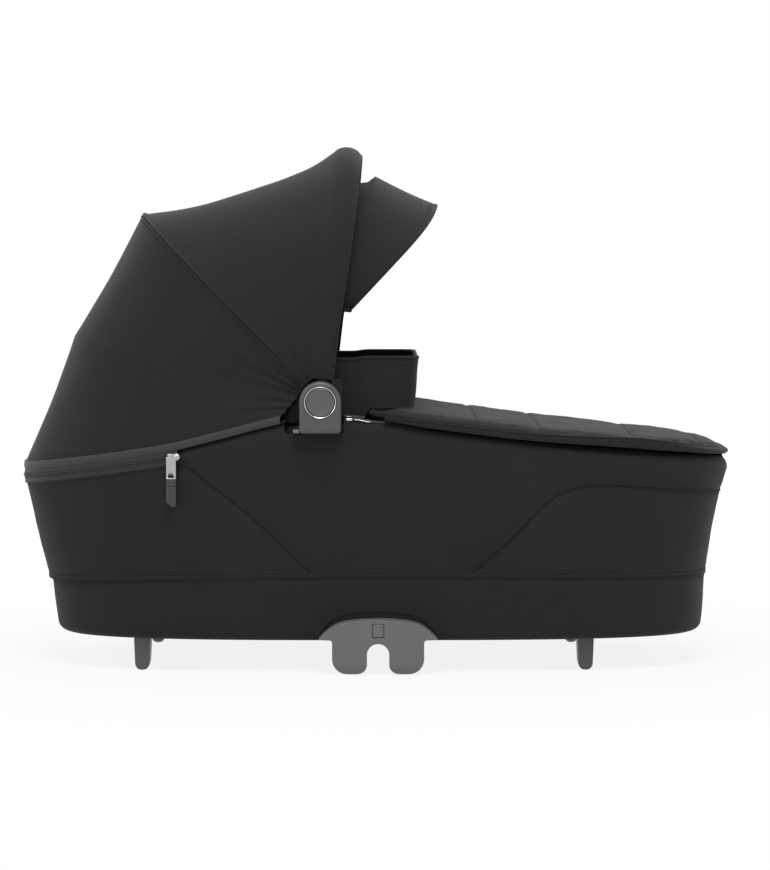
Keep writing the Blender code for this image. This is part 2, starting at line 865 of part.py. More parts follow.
def build_button(name, side):
    """Round release button, its bright guide ring and the spring behind it."""
    floor = housing_face - button_recess
    face = housing_face + button_proud
    back = face - button_thickness
    centre = (hinge_x, 0, hinge_z)
    out = (0, side, 0)
    crown = button_proud
    profile = [(button_radius, back), (button_radius, face - crown), (button_radius * 0.9, face)]
    add_turned("button_" + name, profile, centre, out, satin_metal, sides_round=24,
               origin=(hinge_x, side * back, hinge_z))
    ring_inner = button_radius + seat_gap
    ring = [(ring_inner, floor + seat_gap), (button_ring_radius, floor + seat_gap),
            (button_ring_radius, face), (ring_inner, face + crown)]
    add_turned("button_ring_" + name, ring, centre, out, bright_metal, sides_round=24, bored=True)
    spring = [(spring_radius - spring_wall, floor + seat_gap), (spring_radius, floor + seat_gap),
              (spring_radius, back - seat_gap), (spring_radius - spring_wall, back - seat_gap)]
    add_turned("button_spring_" + name, spring, centre, out, steel, sides_round=10, bored=True)


# Canopy

bows = {
    "rear_bow": (rear_bow_angle, rear_bow_radius, 0),
    "mid_bow": (middle_bow_angle, middle_bow_radius, 1),
    "front_bow": (front_bow_angle, front_bow_radius, 2),
}


def arch_point(angle, radius, half_width, power, turn, centre=(hinge_x, hinge_z)):
    """A point of an arch that leans at an angle about a line across the cot."""
    r = radius * abs(math.sin(turn)) ** (2 / power)
    y = math.copysign(half_width * abs(math.cos(turn)) ** (2 / power), math.cos(turn))
    a = math.radians(angle)
    return Vector((centre[0] + r * math.cos(a), y, centre[1] + r * math.sin(a)))


def arch_out(curve, turn):
    """The direction in the arch's plane that points away from its inside."""
    step = 0.001
    run = (curve(turn + step) - curve(turn - step)).normalized()
    rise = curve(math.pi / 2) - Vector((hinge_x, 0, hinge_z))
    across = rise.normalized().cross(Vector((0, 1, 0)))
    out = run.cross(across).normalized()
    inside = curve(math.pi / 2) * 0.4 + Vector((hinge_x, 0, hinge_z)) * 0.6
    if out.dot(curve(turn) - inside) < 0:
        out = -out
    return out


def bow_curve(name):
    angle, radius, layer = bows[name]
    half = plate_layer(layer)
    return lambda turn: arch_point(angle, radius, half, bow_power, turn)


def bow_across(name):
    """The direction in which the bow's fold carries it, square to its plane."""
    a = math.radians(bows[name][0])
    return Vector((-math.sin(a), 0, math.cos(a)))


def hinge_distance(point):
    return math.hypot(point.x - hinge_x, point.z - hinge_z)


def bow_half_sizes(point):
    share = (hinge_distance(point) - bow_taper_start) / (bow_taper_end - bow_taper_start)
    share = min(max(share, 0), 1)
    flat = 0.45 * leg_thickness
    return mix(flat, bow_rod_radius, share), mix(leg_half_width, bow_rod_radius, share)


def bow_turns(name):
    return even_stations(bow_curve(name), 0.0005, math.pi - 0.0005, bow_stations)


def build_bow(name):
    """An arched bar whose flat legs end in eyes on the pivot pins."""
    curve = bow_curve(name)
    turns = bow_turns(name)
    path = [curve(t) for t in turns]
    finish = satin_metal
    bow = add_tube(name, path, [bow_half_sizes(p) for p in path], finish,
                   across=bow_across(name), origin=(hinge_x, 0, hinge_z))
    layer = plate_layer(bows[name][2])
    for side in sides.values():
        eye = add_turned("eye_piece", [(eye_radius, layer - leg_thickness / 2),
                                       (eye_radius, layer + leg_thickness / 2)],
                         (hinge_x, 0, hinge_z), (0, side, 0), None, sides_round=16)
        combine(bow, eye, "UNION")
    for side in sides.values():
        hole = add_turned("eye_hole_cutter",
                          [(pin_radius + seat_gap, layer - leg_thickness),
                           (pin_radius + seat_gap, layer + leg_thickness)],
                          (hinge_x, 0, hinge_z), (0, side, 0), None, sides_round=12)
        combine(bow, hole, "DIFFERENCE")


def pad_sizes(point):
    share = (hinge_distance(point) - pad_start) / (pad_full - pad_start)
    share = min(max(share, 0), 1)
    return (mix(pad_end_half_thickness, pad_half_thickness, share),
            mix(pad_end_half_width, pad_half_width, share))


def turn_at_radius(curve, radius):
    """The left-side turn at which an arch reaches a distance from the hinge."""
    low, high = 0.0, math.pi / 2
    for _ in range(50):
        middle = (low + high) / 2
        if hinge_distance(curve(middle)) < radius:
            low = middle
        else:
            high = middle
    return low


def build_handle_pad():
    """Padded sleeve round the front bow, which is also the carrying handle."""
    curve = bow_curve("front_bow")
    turns = [t for t in bow_turns("front_bow") if hinge_distance(curve(t)) > pad_start]
    across = bow_across("front_bow")
    sides_round = 10
    rings = []
    for n in range(sides_round):
        a = math.tau * (n + 0.5) / sides_round
        outer = []
        inner = []
        for t in turns:
            point = curve(t)
            out = arch_out(curve, t)
            half_thick, half_wide = pad_sizes(point)
            rod_thick, rod_wide = bow_half_sizes(point)
            gap = 1.6 * seat_gap
            outer.append(point + out * half_thick * math.cos(a) + across * half_wide * math.sin(a))
            inner.append(point + out * (rod_thick + gap) * math.cos(a)
                         + across * (rod_wide + gap) * math.sin(a))
        rings.append(outer + inner[::-1])
    add_loft("handle_pad", rings, black_fabric, closed_run=True, origin=(hinge_x, 0, hinge_z))


def thicken(grid, thickness, centre):
    """The grid's other face, one thickness nearer to a point inside."""
    rows = len(grid)
    columns = len(grid[0])
    inner = []
    for r in range(rows):
        row = []
        for c in range(columns):
            down = grid[min(r + 1, rows - 1)][c] - grid[max(r - 1, 0)][c]
            along = grid[r][min(c + 1, columns - 1)] - grid[r][max(c - 1, 0)]
            normal = down.cross(along).normalized()
            if normal.dot(grid[r][c] - centre) < 0:
                normal = -normal
            row.append(grid[r][c] - normal * thickness)
        inner.append(row)
    return inner


def bow_edge(name, lift, shift, stations):
    """A panel's edge along a bow: lifted off it and shifted to one side of it."""
    curve = bow_curve(name)
    start = turn_at_radius(curve, panel_start)
    across = bow_across(name)
    edge = []
    for t in even_stations(curve, start, math.pi - start, stations):
        point = curve(t)
        half_thick, _ = bow_half_sizes(point)
        edge.append(point + arch_out(curve, t) * (half_thick + lift(point)) + across * shift(point))
    return edge


def build_panel(name, edge_a, edge_b, sag, columns=5):
    """Canopy fabric stretched between two edges, sagging a little halfway."""
    inside = Vector((mix(hinge_x, -rim_head_reach, 0.35), 0, hinge_z))
    grid = []
    for a, b in zip(edge_a, edge_b):
        row = []
        for c in range(columns):
            share = c / (columns - 1)
            point = a.lerp(b, share)
            top_share = min(hinge_distance(point) / middle_bow_radius, 1) ** 2
            toward = (inside - point).normalized()
            row.append(point + toward * (sag * top_share * math.sin(math.pi * share)))
        grid.append(row)
    add_sheet(name, grid, thicken(grid, fabric_thickness, inside), black_fabric)


def round_head(end_x, inset, drop):
    """A line round the head end, from one side's end_x to the other's."""
    start = plan_turn(end_x)
    return along_columns(lambda t: rim_point(t, inset, drop), start, math.tau - start)


def build_canopy_fabric():
    stations = 19
    lift = fabric_thickness + fabric_lift

    def rod_lift(point):
        return lift

    def pad_lift(point):
        half_thick, _ = pad_sizes(point)
        rod_thick, _ = bow_half_sizes(point)
        covered = hinge_distance(point) > pad_start - pad_half_width
        return (half_thick - rod_thick) * 0.82 + lift + running_gap if covered else lift

    def pad_shift(point):
        _, half_wide = pad_sizes(point)
        return half_wide * panel_leave_share + lift

    def back_shift(point):
        return seam_half_gap

    def front_shift(point):
        return -seam_half_gap

    middle_front = bow_edge("mid_bow", rod_lift, front_shift, stations)
    middle_back = bow_edge("mid_bow", rod_lift, back_shift, stations)
    rear_front = bow_edge("rear_bow", rod_lift, front_shift, stations)
    rear_back = bow_edge("rear_bow", rod_lift, back_shift, stations)
    handle_back = bow_edge("front_bow", pad_lift, pad_shift, stations)
    rise = binding_height - binding_drop + fabric_thickness
    start = plan_turn(binding_end_x)
    turns = even_stations(lambda t: rim_point(t, 0, 0), start, math.tau - start, stations)
    binding_top = [rim_point(t, -binding_thickness / 4, -rise) for t in turns]
    build_panel("canopy_front_panel", middle_front, handle_back, front_sag)
    build_panel("canopy_mid_panel", rear_front, middle_back, middle_sag)
    build_panel("canopy_rear_panel", rear_back, binding_top, rear_sag)


def build_binding():
    """Zip binding along the canopy's lower edge, standing on the rim round the head end."""
    half = binding_thickness / 2
    add_band_round_head("canopy_zip_binding", binding_end_x, (-half, half),
                        (binding_drop, binding_drop - binding_height))


def add_band_round_head(name, end_x, insets, drops):
    """A flat band on edge round the head end, between two insets and two drops."""
    faces = []
    for inset in insets:
        lines = [round_head(end_x, inset, drop) for drop in drops]
        faces.append([list(pair) for pair in zip(*lines)])
    add_sheet(name, faces[0], faces[1], grey_zip)


# Zip round the head end

def build_head_zip():
    """Zip tape under the binding, with a slider, a metal pull and a fabric strap on one side."""
    top = binding_drop + seat_gap
    add_band_round_head("head_zip_tape", tape_end_x, (-seat_gap - tape_thickness, -seat_gap),
                        (top + tape_height, top))
    side = sides["right"]
    turn = math.tau - plan_turn(slider_x)
    step = 0.01
    run = rim_point(turn + step, 0, 0) - rim_point(turn - step, 0, 0)
    run.z = 0
    run.normalize()
    out = Vector((-run.y, run.x, 0))
    if out.y * side < 0:
        out = -out
    up = Vector((0, 0, 1))
    face = tape_thickness + 2 * seat_gap + seat_gap
    middle = rim_point(turn, 0, slider_drop) + out * (face + slider_thickness / 2)
    add_plate("head_zip_slider", middle, run, up,
              (slider_length, slider_height, slider_thickness), bright_metal)
    pivot = middle + out * (slider_thickness / 2 + seat_gap + strap_thickness / 2)
    pivot.z = middle.z - slider_height / 2 + pull_hang_rise
    pull_middle = pivot - up * (pull_length / 2)
    add_plate("head_zip_pull", pull_middle, run, up,
              (pull_width, pull_length, pull_thickness), bright_metal, origin=pivot)
    strap_middle = pivot - up * (pull_length + seat_gap + strap_length / 2)
    add_plate("head_pull_strap", strap_middle, run, up,
              (pull_width, strap_length, strap_thickness), black_fabric, origin=pivot)


# Sun visor

def visor_point(turn, angle, lift=0):
    radius = visor_radius + lift
    return arch_point(angle, radius, visor_half_width + lift, visor_power, turn,
                      (visor_pivot_x, visor_pivot_z))


def build_visor():
    """Stiff sun visor that turns on two arms of the front bow."""
    low_turn = math.asin((visor_start / visor_radius) ** (visor_power / 2))
    turns = even_stations(lambda t: visor_point(t, visor_rear_angle), low_turn,
                          math.pi - low_turn, 17)
    columns = 4
    grid = []
    for t in turns:
        height_share = math.sin(t)
        front_angle = mix(visor_front_angle, visor_tip_angle, height_share ** 6)
        rear = visor_point(t, visor_rear_angle)
        front = visor_point(t, front_angle)
        grid.append([rear.lerp(front, c / (columns - 1)) for c in range(columns)])
    inside = Vector((visor_pivot_x, 0, visor_pivot_z))
    pivot = (visor_pivot_x, 0, visor_pivot_z)
    add_sheet("visor", grid, thicken(grid, visor_thickness, inside), black_fabric, origin=pivot)


def build_visor_arm(name, side):
    """Moulded arm on the front bow's leg that carries the visor's pivot."""
    curve = bow_curve("front_bow")
    a = math.radians(front_bow_angle)
    along = (visor_pivot_x - hinge_x) * math.cos(a) + (visor_pivot_z - hinge_z) * math.sin(a)
    root_x = hinge_x + along * math.cos(a)
    root_z = hinge_z + along * math.sin(a)
    seat = curve(turn_at_radius(curve, along + visor_arm_half_width))
    half_thick, _ = bow_half_sizes(seat)
    outer = seat.y - half_thick - running_gap
    inner = visor_half_width + seat_gap
    run = Vector((visor_pivot_x - root_x, visor_pivot_z - root_z)).normalized()
    outline = []
    steps = 6
    for centre, start in (((visor_pivot_x, visor_pivot_z), -0.5), ((root_x, root_z), 0.5)):
        base = math.atan2(run.y, run.x)
        for n in range(steps + 1):
            turn = base + math.pi * (start + n / steps)
            outline.append((centre[0] + visor_arm_half_width * math.cos(turn),
                            centre[1] + visor_arm_half_width * math.sin(turn)))
    add_prism(name, outline, inner, outer, side_place(side, 0), black_plastic,
              origin=(hinge_x, 0, hinge_z))


# Apron and wind flap

def apron_half(x):
    reach = rim_foot_reach if x > 0 else rim_head_reach
    share = max(1 - (abs(x) / reach) ** rim_power, 0) ** (1 / rim_power)
    full = (rim_half_width + apron_overhang) * share
    step = min(max((x - apron_step_x) / apron_step_length + 0.5, 0), 1)
    step = step * step * (3 - 2 * step)
    return mix(min(apron_front_half_width, full), full, step)


def apron_top_at(x, side_share):
    """Height of the apron's top: an edge flap, then a crown with sewn channels across it."""
    base = rim_height_at(x) + apron_lift
    if side_share > 0.99:
        return base + apron_edge_shoulder
    puff = (1 - side_share ** 4) * apron_crown
    for place in channel_places:
        distance = abs(x - place) / channel_half_width
        if distance < 1:
            puff -= channel_depth * (1 - distance) * (1 - side_share ** 6)
    return base + apron_edge + puff


def build_apron():
    """Padded apron over the foot half of the tub, lying on the rim."""
    end_x = rim_foot_reach - apron_end_margin
    stations = [apron_front_x, apron_step_x - apron_step_length / 2, apron_step_x,
                apron_step_x + apron_step_length / 2]
    for place in channel_places:
        stations += [place - channel_half_width, place, place + channel_half_width]
        before = stations[-4]
        stations.append(mix(before, place - channel_half_width, 0.5))
    stations.append(mix(channel_places[-1] + channel_half_width, end_x, 0.45))
    stations.append(mix(channel_places[-1] + channel_half_width, end_x, 0.8))
    stations.append(end_x)
    side_shares = [-1, -0.96, -0.85, -0.6, -0.3, 0, 0.3, 0.6, 0.85, 0.96, 1]
    top = []
    low = []
    for x in sorted(stations):
        half = apron_half(x)
        base = rim_height_at(x) + apron_lift
        top.append([Vector((x, share * half, apron_top_at(x, abs(share)))) for share in side_shares])
        low.append([Vector((x, share * half, base)) for share in side_shares])
    pivot = (rim_foot_reach + apron_hinge_margin, 0, rim_height_at(rim_foot_reach))
    add_sheet("apron_cover", top, low, black_fabric, origin=pivot)


def flap_route():
    """The wind flap's line in plan, from one wing's end round the front to the other's."""
    half = flap_half_width
    points = [(flap_wing_x, half), (mix(flap_wing_x, flap_front_x, 0.4), half)]
    steps = 5
    for n in range(steps + 1):
        a = math.pi / 2 * (1 - n / steps)
        points.append((flap_front_x - flap_corner + flap_corner * math.cos(a),
                       half - flap_corner + flap_corner * math.sin(a)))
    points.append((flap_front_x, (half - flap_corner) / 2))
    mirrored = [(x, -y) for x, y in reversed(points)]
    return points + [(flap_front_x, 0)] + mirrored


def build_wind_flap():
    """Upright flap across the apron's front, with wings that run back inside the canopy."""
    route = flap_route()
    half = flap_thickness / 2
    outer = []
    inner = []
    for k, (x, y) in enumerate(route):
        before = Vector(route[max(k - 1, 0)])
        after = Vector(route[min(k + 1, len(route) - 1)])
        run = (after - before).normalized()
        out = Vector((-run.y, run.x))
        base = apron_top_at(x, min(abs(y) / apron_half(x), 0.98)) + flap_base_gap
        heights = [base, mix(base, flap_top, 0.5), flap_top]
        outer.append([Vector((x + out.x * half, y + out.y * half, z)) for z in heights])
        inner.append([Vector((x - out.x * half, y - out.y * half, z)) for z in heights])
    pivot_z = apron_top_at(flap_front_x, 0) + flap_base_gap
    pivot = (flap_front_x + half, 0, pivot_z)
    add_sheet("wind_flap", outer, inner, black_fabric, origin=pivot)


def build_apron_pull(name, side):
    """Zip slider beside the housing and the pull that lies along the rim from it."""
    slider_end = apron_slider_x + apron_slider_length
    rest = rim_height_at(slider_end) + seat_gap
    middle = (mix(apron_slider_x, slider_end, 0.5), side * apron_pull_y, rest + apron_slider_height / 2)
    add_plate("apron_zip_slider_" + name, middle, (1, 0, 0), (0, 0, 1),
              (apron_slider_length, apron_slider_height, apron_slider_width), satin_metal)
    start = slider_end + running_gap
    end = start + apron_pull_length
    rise = seat_gap + running_gap + pull_thickness / 2
    low = Vector((start, side * apron_pull_y, rim_height_at(start) + rise))
    high = Vector((end, side * apron_pull_y, rim_height_at(end) + rise))
    run = (high - low).normalized()
    pivot = low + run * apron_pull_pivot
    up = run.cross(Vector((0, -1, 0)))
    centre = low + run * (apron_pull_length / 2)
    add_plate("apron_zip_pull_" + name, centre, run, up,
              (apron_pull_length, pull_thickness, pull_width), bright_metal, origin=pivot)


# Adapters

def adapter_back():
    """Where the adapter meets the tray's wall, at the height of its own top."""
    return side_half_width(adapter_top, tray_inset, 0) + seat_gap


def adapter_outline():
    """Half outline from the slot's top round the fork, the wing and the arch, then mirrored."""
    slot_centre = adapter_slot_top - adapter_slot_half_width
    half = []
    steps = 5
    for n in range(steps + 1):
        a = math.pi / 2 * (1 - n / steps)
        half.append((adapter_slot_half_width * math.cos(a),
                     slot_centre + adapter_slot_half_width * math.sin(a)))
    lip = adapter_slot_half_width + 0.45 * adapter_lobe_radius
    half.append((adapter_slot_half_width, adapter_foot + 0.55 * adapter_lobe_radius))
    half.append((mix(adapter_slot_half_width, lip, 0.35), adapter_foot + 0.12 * adapter_lobe_radius))
    half.append((lip, adapter_foot))
    corner_x = adapter_fork_half_width - adapter_lobe_radius
    corner_z = adapter_foot + adapter_lobe_radius
    for n in range(steps + 1):
        a = -math.pi / 2 * (1 - n / steps)
        half.append((corner_x + adapter_lobe_radius * math.cos(a),
                     corner_z + adapter_lobe_radius * math.sin(a)))
    neck = adapter_wing_height - 0.1 * adapter_lobe_radius
    half.append((adapter_fork_half_width, neck))
    half.append((adapter_wing, adapter_wing_height))
    half += arch_shares(adapter_wing, adapter_wing_height, adapter_top)
    mirrored = [(-x, z) for x, z in reversed(half[1:-1])]
    return half + mirrored


def arch_shares(half_span, low, top):
    """The arch over an adapter, from near its wing tip to its middle."""
    points = []
    for across_share, height_share in ((0.88, 0.36), (0.76, 0.64), (0.60, 0.84), (0.32, 0.965), (0, 1)):
        points.append((half_span * across_share, mix(low, top, height_share)))
    return points


def adapter_window():
    """The cut-out in the fabric round an adapter."""
    half_span = adapter_wing + window_margin
    low = base_height - cut_overrun
    foot = adapter_wing_height + window_margin / 2
    top = adapter_top + window_top_margin
    half = [(half_span, low), (half_span, foot)] + arch_shares(half_span, foot, top)
    return half + [(-x, z) for x, z in reversed(half[:-1])]


def adapter_screw_solid(name, end, side, gap):
    """A countersunk screw from inside the tray wall out into the adapter."""
    z = adapter_screw_z
    share = (z - base_height) / (seam_height_at(adapter_x) - base_height)
    wall_inner = mix(base_half_width, seam_half_width, share) - tray_inset - tray_wall
    start = wall_inner - 0.3 * screw_head_height
    profile = screw_profile(start, adapter_screw_length, gap)
    x = adapter_x + end * adapter_screw_spacing / 2
    finish = None if gap else steel
    return add_turned(name, profile, (x, 0, z), (0, side, 0), finish, sides_round=10)


def foot_screw_solid(name, x, side, gap):
    """A countersunk screw down through the tray floor into a foot."""
    y = side * (foot_outer_y - foot_depth / 2)
    profile = screw_profile(-tray_floor_top + seat_gap, foot_screw_length, gap)
    finish = None if gap else steel
    return add_turned(name, profile, (x, y, 0), (0, 0, -1), finish, sides_round=10)


def screw_profile(start, length, gap):
    """Head face, cone, shank and tip; with a gap it is the hole that takes the screw."""
    front = start - (cut_overrun if gap else 0)
    head = [(screw_head_radius + gap, front)] if gap else []
    head.append((screw_head_radius + gap, start))
    return head + [(screw_shank_radius + gap, start + screw_head_height),
                   (screw_shank_radius + gap, start + length + gap)]


def build_adapter(name, side):
    """Moulded fork that locks onto the chassis, with its release button."""
    adapter = add_prism(name, adapter_outline(), adapter_back(), adapter_face,
                        side_place(side, adapter_x), grey_plastic)
    round_edges(adapter, adapter_bevel, 1)
    floor = adapter_face - latch_recess
    gap = seat_gap
    opening = add_plate("latch_cutter",
                        (adapter_x, side * (floor + adapter_face + cut_overrun) / 2, latch_z),
                        (1, 0, 0), (0, 0, 1),
                        (latch_width + 2 * gap, latch_height + 2 * gap, latch_recess + cut_overrun), None)
    combine(adapter, opening, "DIFFERENCE")
    for end in (-1, 1):
        hole = adapter_screw_solid("adapter_hole_cutter", end, side, screw_hole_gap)
        combine(adapter, hole, "DIFFERENCE")


def build_latch_button(name, side):
    face = adapter_face + button_proud
    back = face - latch_thickness
    button = add_plate(name, (adapter_x, side * (face + back) / 2, latch_z), (1, 0, 0), (0, 0, 1),
                       (latch_width, latch_height, latch_thickness), grey_plastic,
                       origin=(adapter_x, side * back, latch_z))
    round_edges(button, latch_bevel, 1)


# Feet

def build_foot(name, x, side):
    """Moulded runner foot with a rounded underside."""
    top = tray_bottom - seat_gap
    half = [(foot_flat_half_length, 0)]
    for share in (0.45, 0.75, 0.95):
        half.append((mix(foot_flat_half_length, foot_half_length, share),
                     foot_round * (1 - math.sqrt(1 - share * share))))
    half.append((foot_half_length, foot_round))
    half.append((foot_top_half_length, top))
    outline = half + [(-a, b) for a, b in reversed(half)]
    foot = add_prism(name, outline, foot_outer_y - foot_depth, foot_outer_y,
                     side_place(side, x), grey_plastic)
    hole = foot_screw_solid("foot_hole_cutter", x, side, screw_hole_gap)
    combine(foot, hole, "DIFFERENCE")


def clear_scene():
    for existing in list(bpy.data.objects):
        bpy.data.objects.remove(existing)


def main():
    clear_scene()
    build_tray()
    build_lower_band()
    build_body_cover()
    build_wall_board()
    build_lining()
    build_mattress()
    build_rim_tubes()
    build_stays()
    for name in bows:
        build_bow(name)
    build_handle_pad()
    build_canopy_fabric()
    build_binding()
    build_head_zip()
    build_visor()
    build_apron()
    build_wind_flap()
    for name, side in sides.items():
        build_side_post("side_post_" + name, side)
        build_pivot_pin("pivot_pin_" + name, side)
        build_housing("hinge_housing_" + name, side)
        build_button(name, side)
        build_visor_arm("visor_arm_" + name, side)
        build_apron_pull(name, side)
        build_adapter("adapter_" + name, side)
        build_latch_button("latch_button_" + name, side)
        for end, place in (("front", -1), ("back", 1)):
            adapter_screw_solid("adapter_screw_" + end + "_" + name, place, side, 0)
        for end, x in (("head", foot_head_x), ("end", foot_end_x)):
            build_foot("foot_" + end + "_" + name, x, side)
            foot_screw_solid("foot_screw_" + end + "_" + name, x, side, 0)


main()
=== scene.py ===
import math

import bmesh
import bpy
import numpy
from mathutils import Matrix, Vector, noise


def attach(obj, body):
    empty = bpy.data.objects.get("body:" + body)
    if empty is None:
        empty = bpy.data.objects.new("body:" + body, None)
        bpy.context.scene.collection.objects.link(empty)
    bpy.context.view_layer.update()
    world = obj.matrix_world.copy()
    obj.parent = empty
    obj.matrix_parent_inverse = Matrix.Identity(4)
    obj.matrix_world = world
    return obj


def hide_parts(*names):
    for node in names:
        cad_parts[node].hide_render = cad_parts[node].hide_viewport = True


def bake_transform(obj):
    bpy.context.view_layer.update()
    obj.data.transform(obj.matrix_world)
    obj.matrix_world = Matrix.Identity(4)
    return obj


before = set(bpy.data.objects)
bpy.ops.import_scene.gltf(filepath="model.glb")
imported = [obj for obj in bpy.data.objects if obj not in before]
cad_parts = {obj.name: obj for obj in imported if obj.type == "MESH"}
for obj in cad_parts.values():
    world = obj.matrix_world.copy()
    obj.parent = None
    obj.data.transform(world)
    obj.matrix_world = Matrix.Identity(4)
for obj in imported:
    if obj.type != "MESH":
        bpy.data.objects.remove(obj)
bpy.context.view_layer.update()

sides = {"left": 1, "right": -1}
print("frame loaded")


# metres everywhere, X runs along the cot with the head end at -X
tub = {
    "rim": (0.4291, 0.4306, 0.209, 2.8),  # head reach, foot reach, half width, roundness
    "seam": (0.4005, 0.4040, 0.197, 3.0),
    "bandTop": (0.3970, 0.4030, 0.197, 3.0),
    "base": (0.388, 0.398, 0.190, 3.2),
    "baseHeight": 0.038,
    "seamHeight": 0.117,
    "seamHeadHeight": 0.1055,
    "seamFootHeight": 0.1104,
    "rimHeadHeight": 0.237,
    "rimPeakHeight": 0.3025,
    "rimFootHeight": 0.251,
    "headShares": [(0, 0), (0.49, 0.41), (0.66, 0.64), (0.88, 0.95), (1, 1)],
    "footShares": [(0, 0), (0.40, 0.37), (0.68, 0.70), (0.87, 0.93), (1, 1)],
    "rollRadius": 0.0155,
    "lipDrop": 0.036,
    "columns": 600,
}
hinge = Vector((-0.0651, 0, 0.3207))


def mix(a, b, share):
    return a + (b - a) * share


def clamp(value, low=0, high=1):
    return min(max(value, low), high)


def smooth(share):
    share = clamp(share)
    return share * share * (3 - 2 * share)


def curveThrough(pairs, at, levelEnd=True):  # smooth curve through (place, height) pairs
    slopes = []
    for k in range(len(pairs)):
        low = pairs[max(k - 1, 0)]
        high = pairs[min(k + 1, len(pairs) - 1)]
        slopes.append((high[1] - low[1]) / (high[0] - low[0]))
    if levelEnd:
        slopes[-1] = 0
    at = clamp(at)
    k = 0
    while k < len(pairs) - 2 and at > pairs[k + 1][0]:
        k += 1
    (x0, y0), (x1, y1) = pairs[k], pairs[k + 1]
    width = x1 - x0
    t = (at - x0) / width
    rise = (1 + 2 * t) * (1 - t) ** 2 * y0 + t * t * (3 - 2 * t) * y1
    lean = t * (1 - t) ** 2 * slopes[k] - t * t * (1 - t) * slopes[k + 1]
    return rise + lean * width


def evenStations(curve, start, end, count, closed=False, fine=3000):
    values = [mix(start, end, n / fine) for n in range(fine + 1)]
    points = numpy.array([curve(v) for v in values])
    lengths = numpy.concatenate(([0], numpy.cumsum(numpy.linalg.norm(numpy.diff(points, axis=0), axis=1))))
    gaps = count if closed else count - 1
    wanted = lengths[-1] * numpy.arange(count) / gaps
    return [float(v) for v in numpy.interp(wanted, lengths, values)]


def rimHeightAt(x):
    head, foot = tub["rim"][:2]
    if x < hinge.x:
        share = curveThrough(tub["headShares"], (x + head) / (hinge.x + head))
        return mix(tub["rimHeadHeight"], tub["rimPeakHeight"], share)
    share = curveThrough(tub["footShares"], (foot - x) / (foot - hinge.x))
    return mix(tub["rimFootHeight"], tub["rimPeakHeight"], share)


def seamHeightAt(x):
    end = tub["seamHeadHeight"] if x < 0 else tub["seamFootHeight"]
    reach = tub["rim"][0 if x < 0 else 1]
    return mix(tub["seamHeight"], end, (x / reach) ** 2)


def planPoint(turn, sizes, inset=0):
    head, foot, half, power = sizes
    c, s = math.cos(turn), math.sin(turn)
    reach = (foot if c > 0 else head) - inset
    return (math.copysign(abs(c) ** (2 / power) * reach, c),
            math.copysign(abs(s) ** (2 / power) * (half - inset), s))


def planTurn(x, sizes):  # the turn on the left side at which an outline passes x
    reach = sizes[1] if x > 0 else sizes[0]
    return math.acos(math.copysign(clamp(abs(x) / reach) ** (sizes[3] / 2), x))


def planOut(turn, sizes):  # the way out of the outline, in plan
    x0, y0 = planPoint(turn - 0.002, sizes)
    x1, y1 = planPoint(turn + 0.002, sizes)
    return Vector((y1 - y0, x0 - x1, 0)).normalized()


def rimOut(turn):
    return planOut(turn, tub["rim"])


def rimX(turn):
    return planPoint(turn, tub["rim"])[0]


def rimPoint(turn, inset, drop):
    x, y = planPoint(turn, tub["rim"], inset)
    return Vector((x, y, rimHeightAt(rimX(turn)) - drop))


def rimStations(start, end, count, closed=False, fine=3000):  # turns evenly spaced along the rim
    return evenStations(lambda t: rimPoint(t, 0, 0), start, end, count, closed, fine)


def rollPoint(turn, angle):  # on the rim's roll, at an angle in radians up from the outside
    radius = tub["rollRadius"]
    return rimPoint(turn, radius * (1 - math.cos(angle)), radius * (1 - math.sin(angle)))


def rollOut(turn, angle):  # the way out of the roll there
    return rimOut(turn) * math.cos(angle) + Vector((0, 0, math.sin(angle)))


def wallLevels(turn):
    x = rimX(turn)
    return seamHeightAt(x), rimHeightAt(x) - tub["rollRadius"]


def wallPoint(turn, share, inset=0):
    low, high = wallLevels(turn)
    x, y = planPoint(turn, [mix(a, b, share) for a, b in zip(tub["seam"], tub["rim"])], inset)
    return Vector((x, y, mix(low, high, share)))


def wallPuff(turn, share):  # padding stands a little proud at the sides and is drawn in at the foot end
    side = math.sin(math.pi * clamp(share))
    return side * (0.0016 - 0.0046 * max(math.cos(turn), 0) ** 3 - 0.0012 * max(-math.cos(turn), 0) ** 3)


def bandPoint(turn, share, inset=0):
    x, y = planPoint(turn, [mix(a, b, share) for a, b in zip(tub["base"], tub["bandTop"])], inset)
    return Vector((x, y, mix(tub["baseHeight"], seamHeightAt(rimX(turn)), share)))


def bandLevel(turn, z, inset=0):
    base = tub["baseHeight"]
    return bandPoint(turn, (z - base) / (seamHeightAt(rimX(turn)) - base), inset)


def tubSkin(turn, z):  # the fabric's outer face at a height, above or below the main seam
    low, high = wallLevels(turn)
    if z < low:
        return bandLevel(turn, z)
    share = (z - low) / (high - low)
    return wallPoint(turn, share) + rimOut(turn) * wallPuff(turn, share)


def tubNormal(turn, z):
    along = tubSkin(turn + 0.003, z) - tubSkin(turn - 0.003, z)
    rise = tubSkin(turn, z + 0.002) - tubSkin(turn, z - 0.002)
    return along.cross(rise).normalized()


def splinePoint(points, at):  # smooth curve through equal steps of hand-set points
    last = len(points) - 1
    place = clamp(at) * last
    k = min(int(place), last - 1)
    t = place - k
    before, here, there, after = (Vector(points[clamp(n, 0, last)]) for n in range(k - 1, k + 3))
    return 0.5 * (2 * here + (there - before) * t + (2 * before - 5 * here + 4 * there - after) * t ** 2
                  + (3 * here - before - 3 * there + after) * t ** 3)


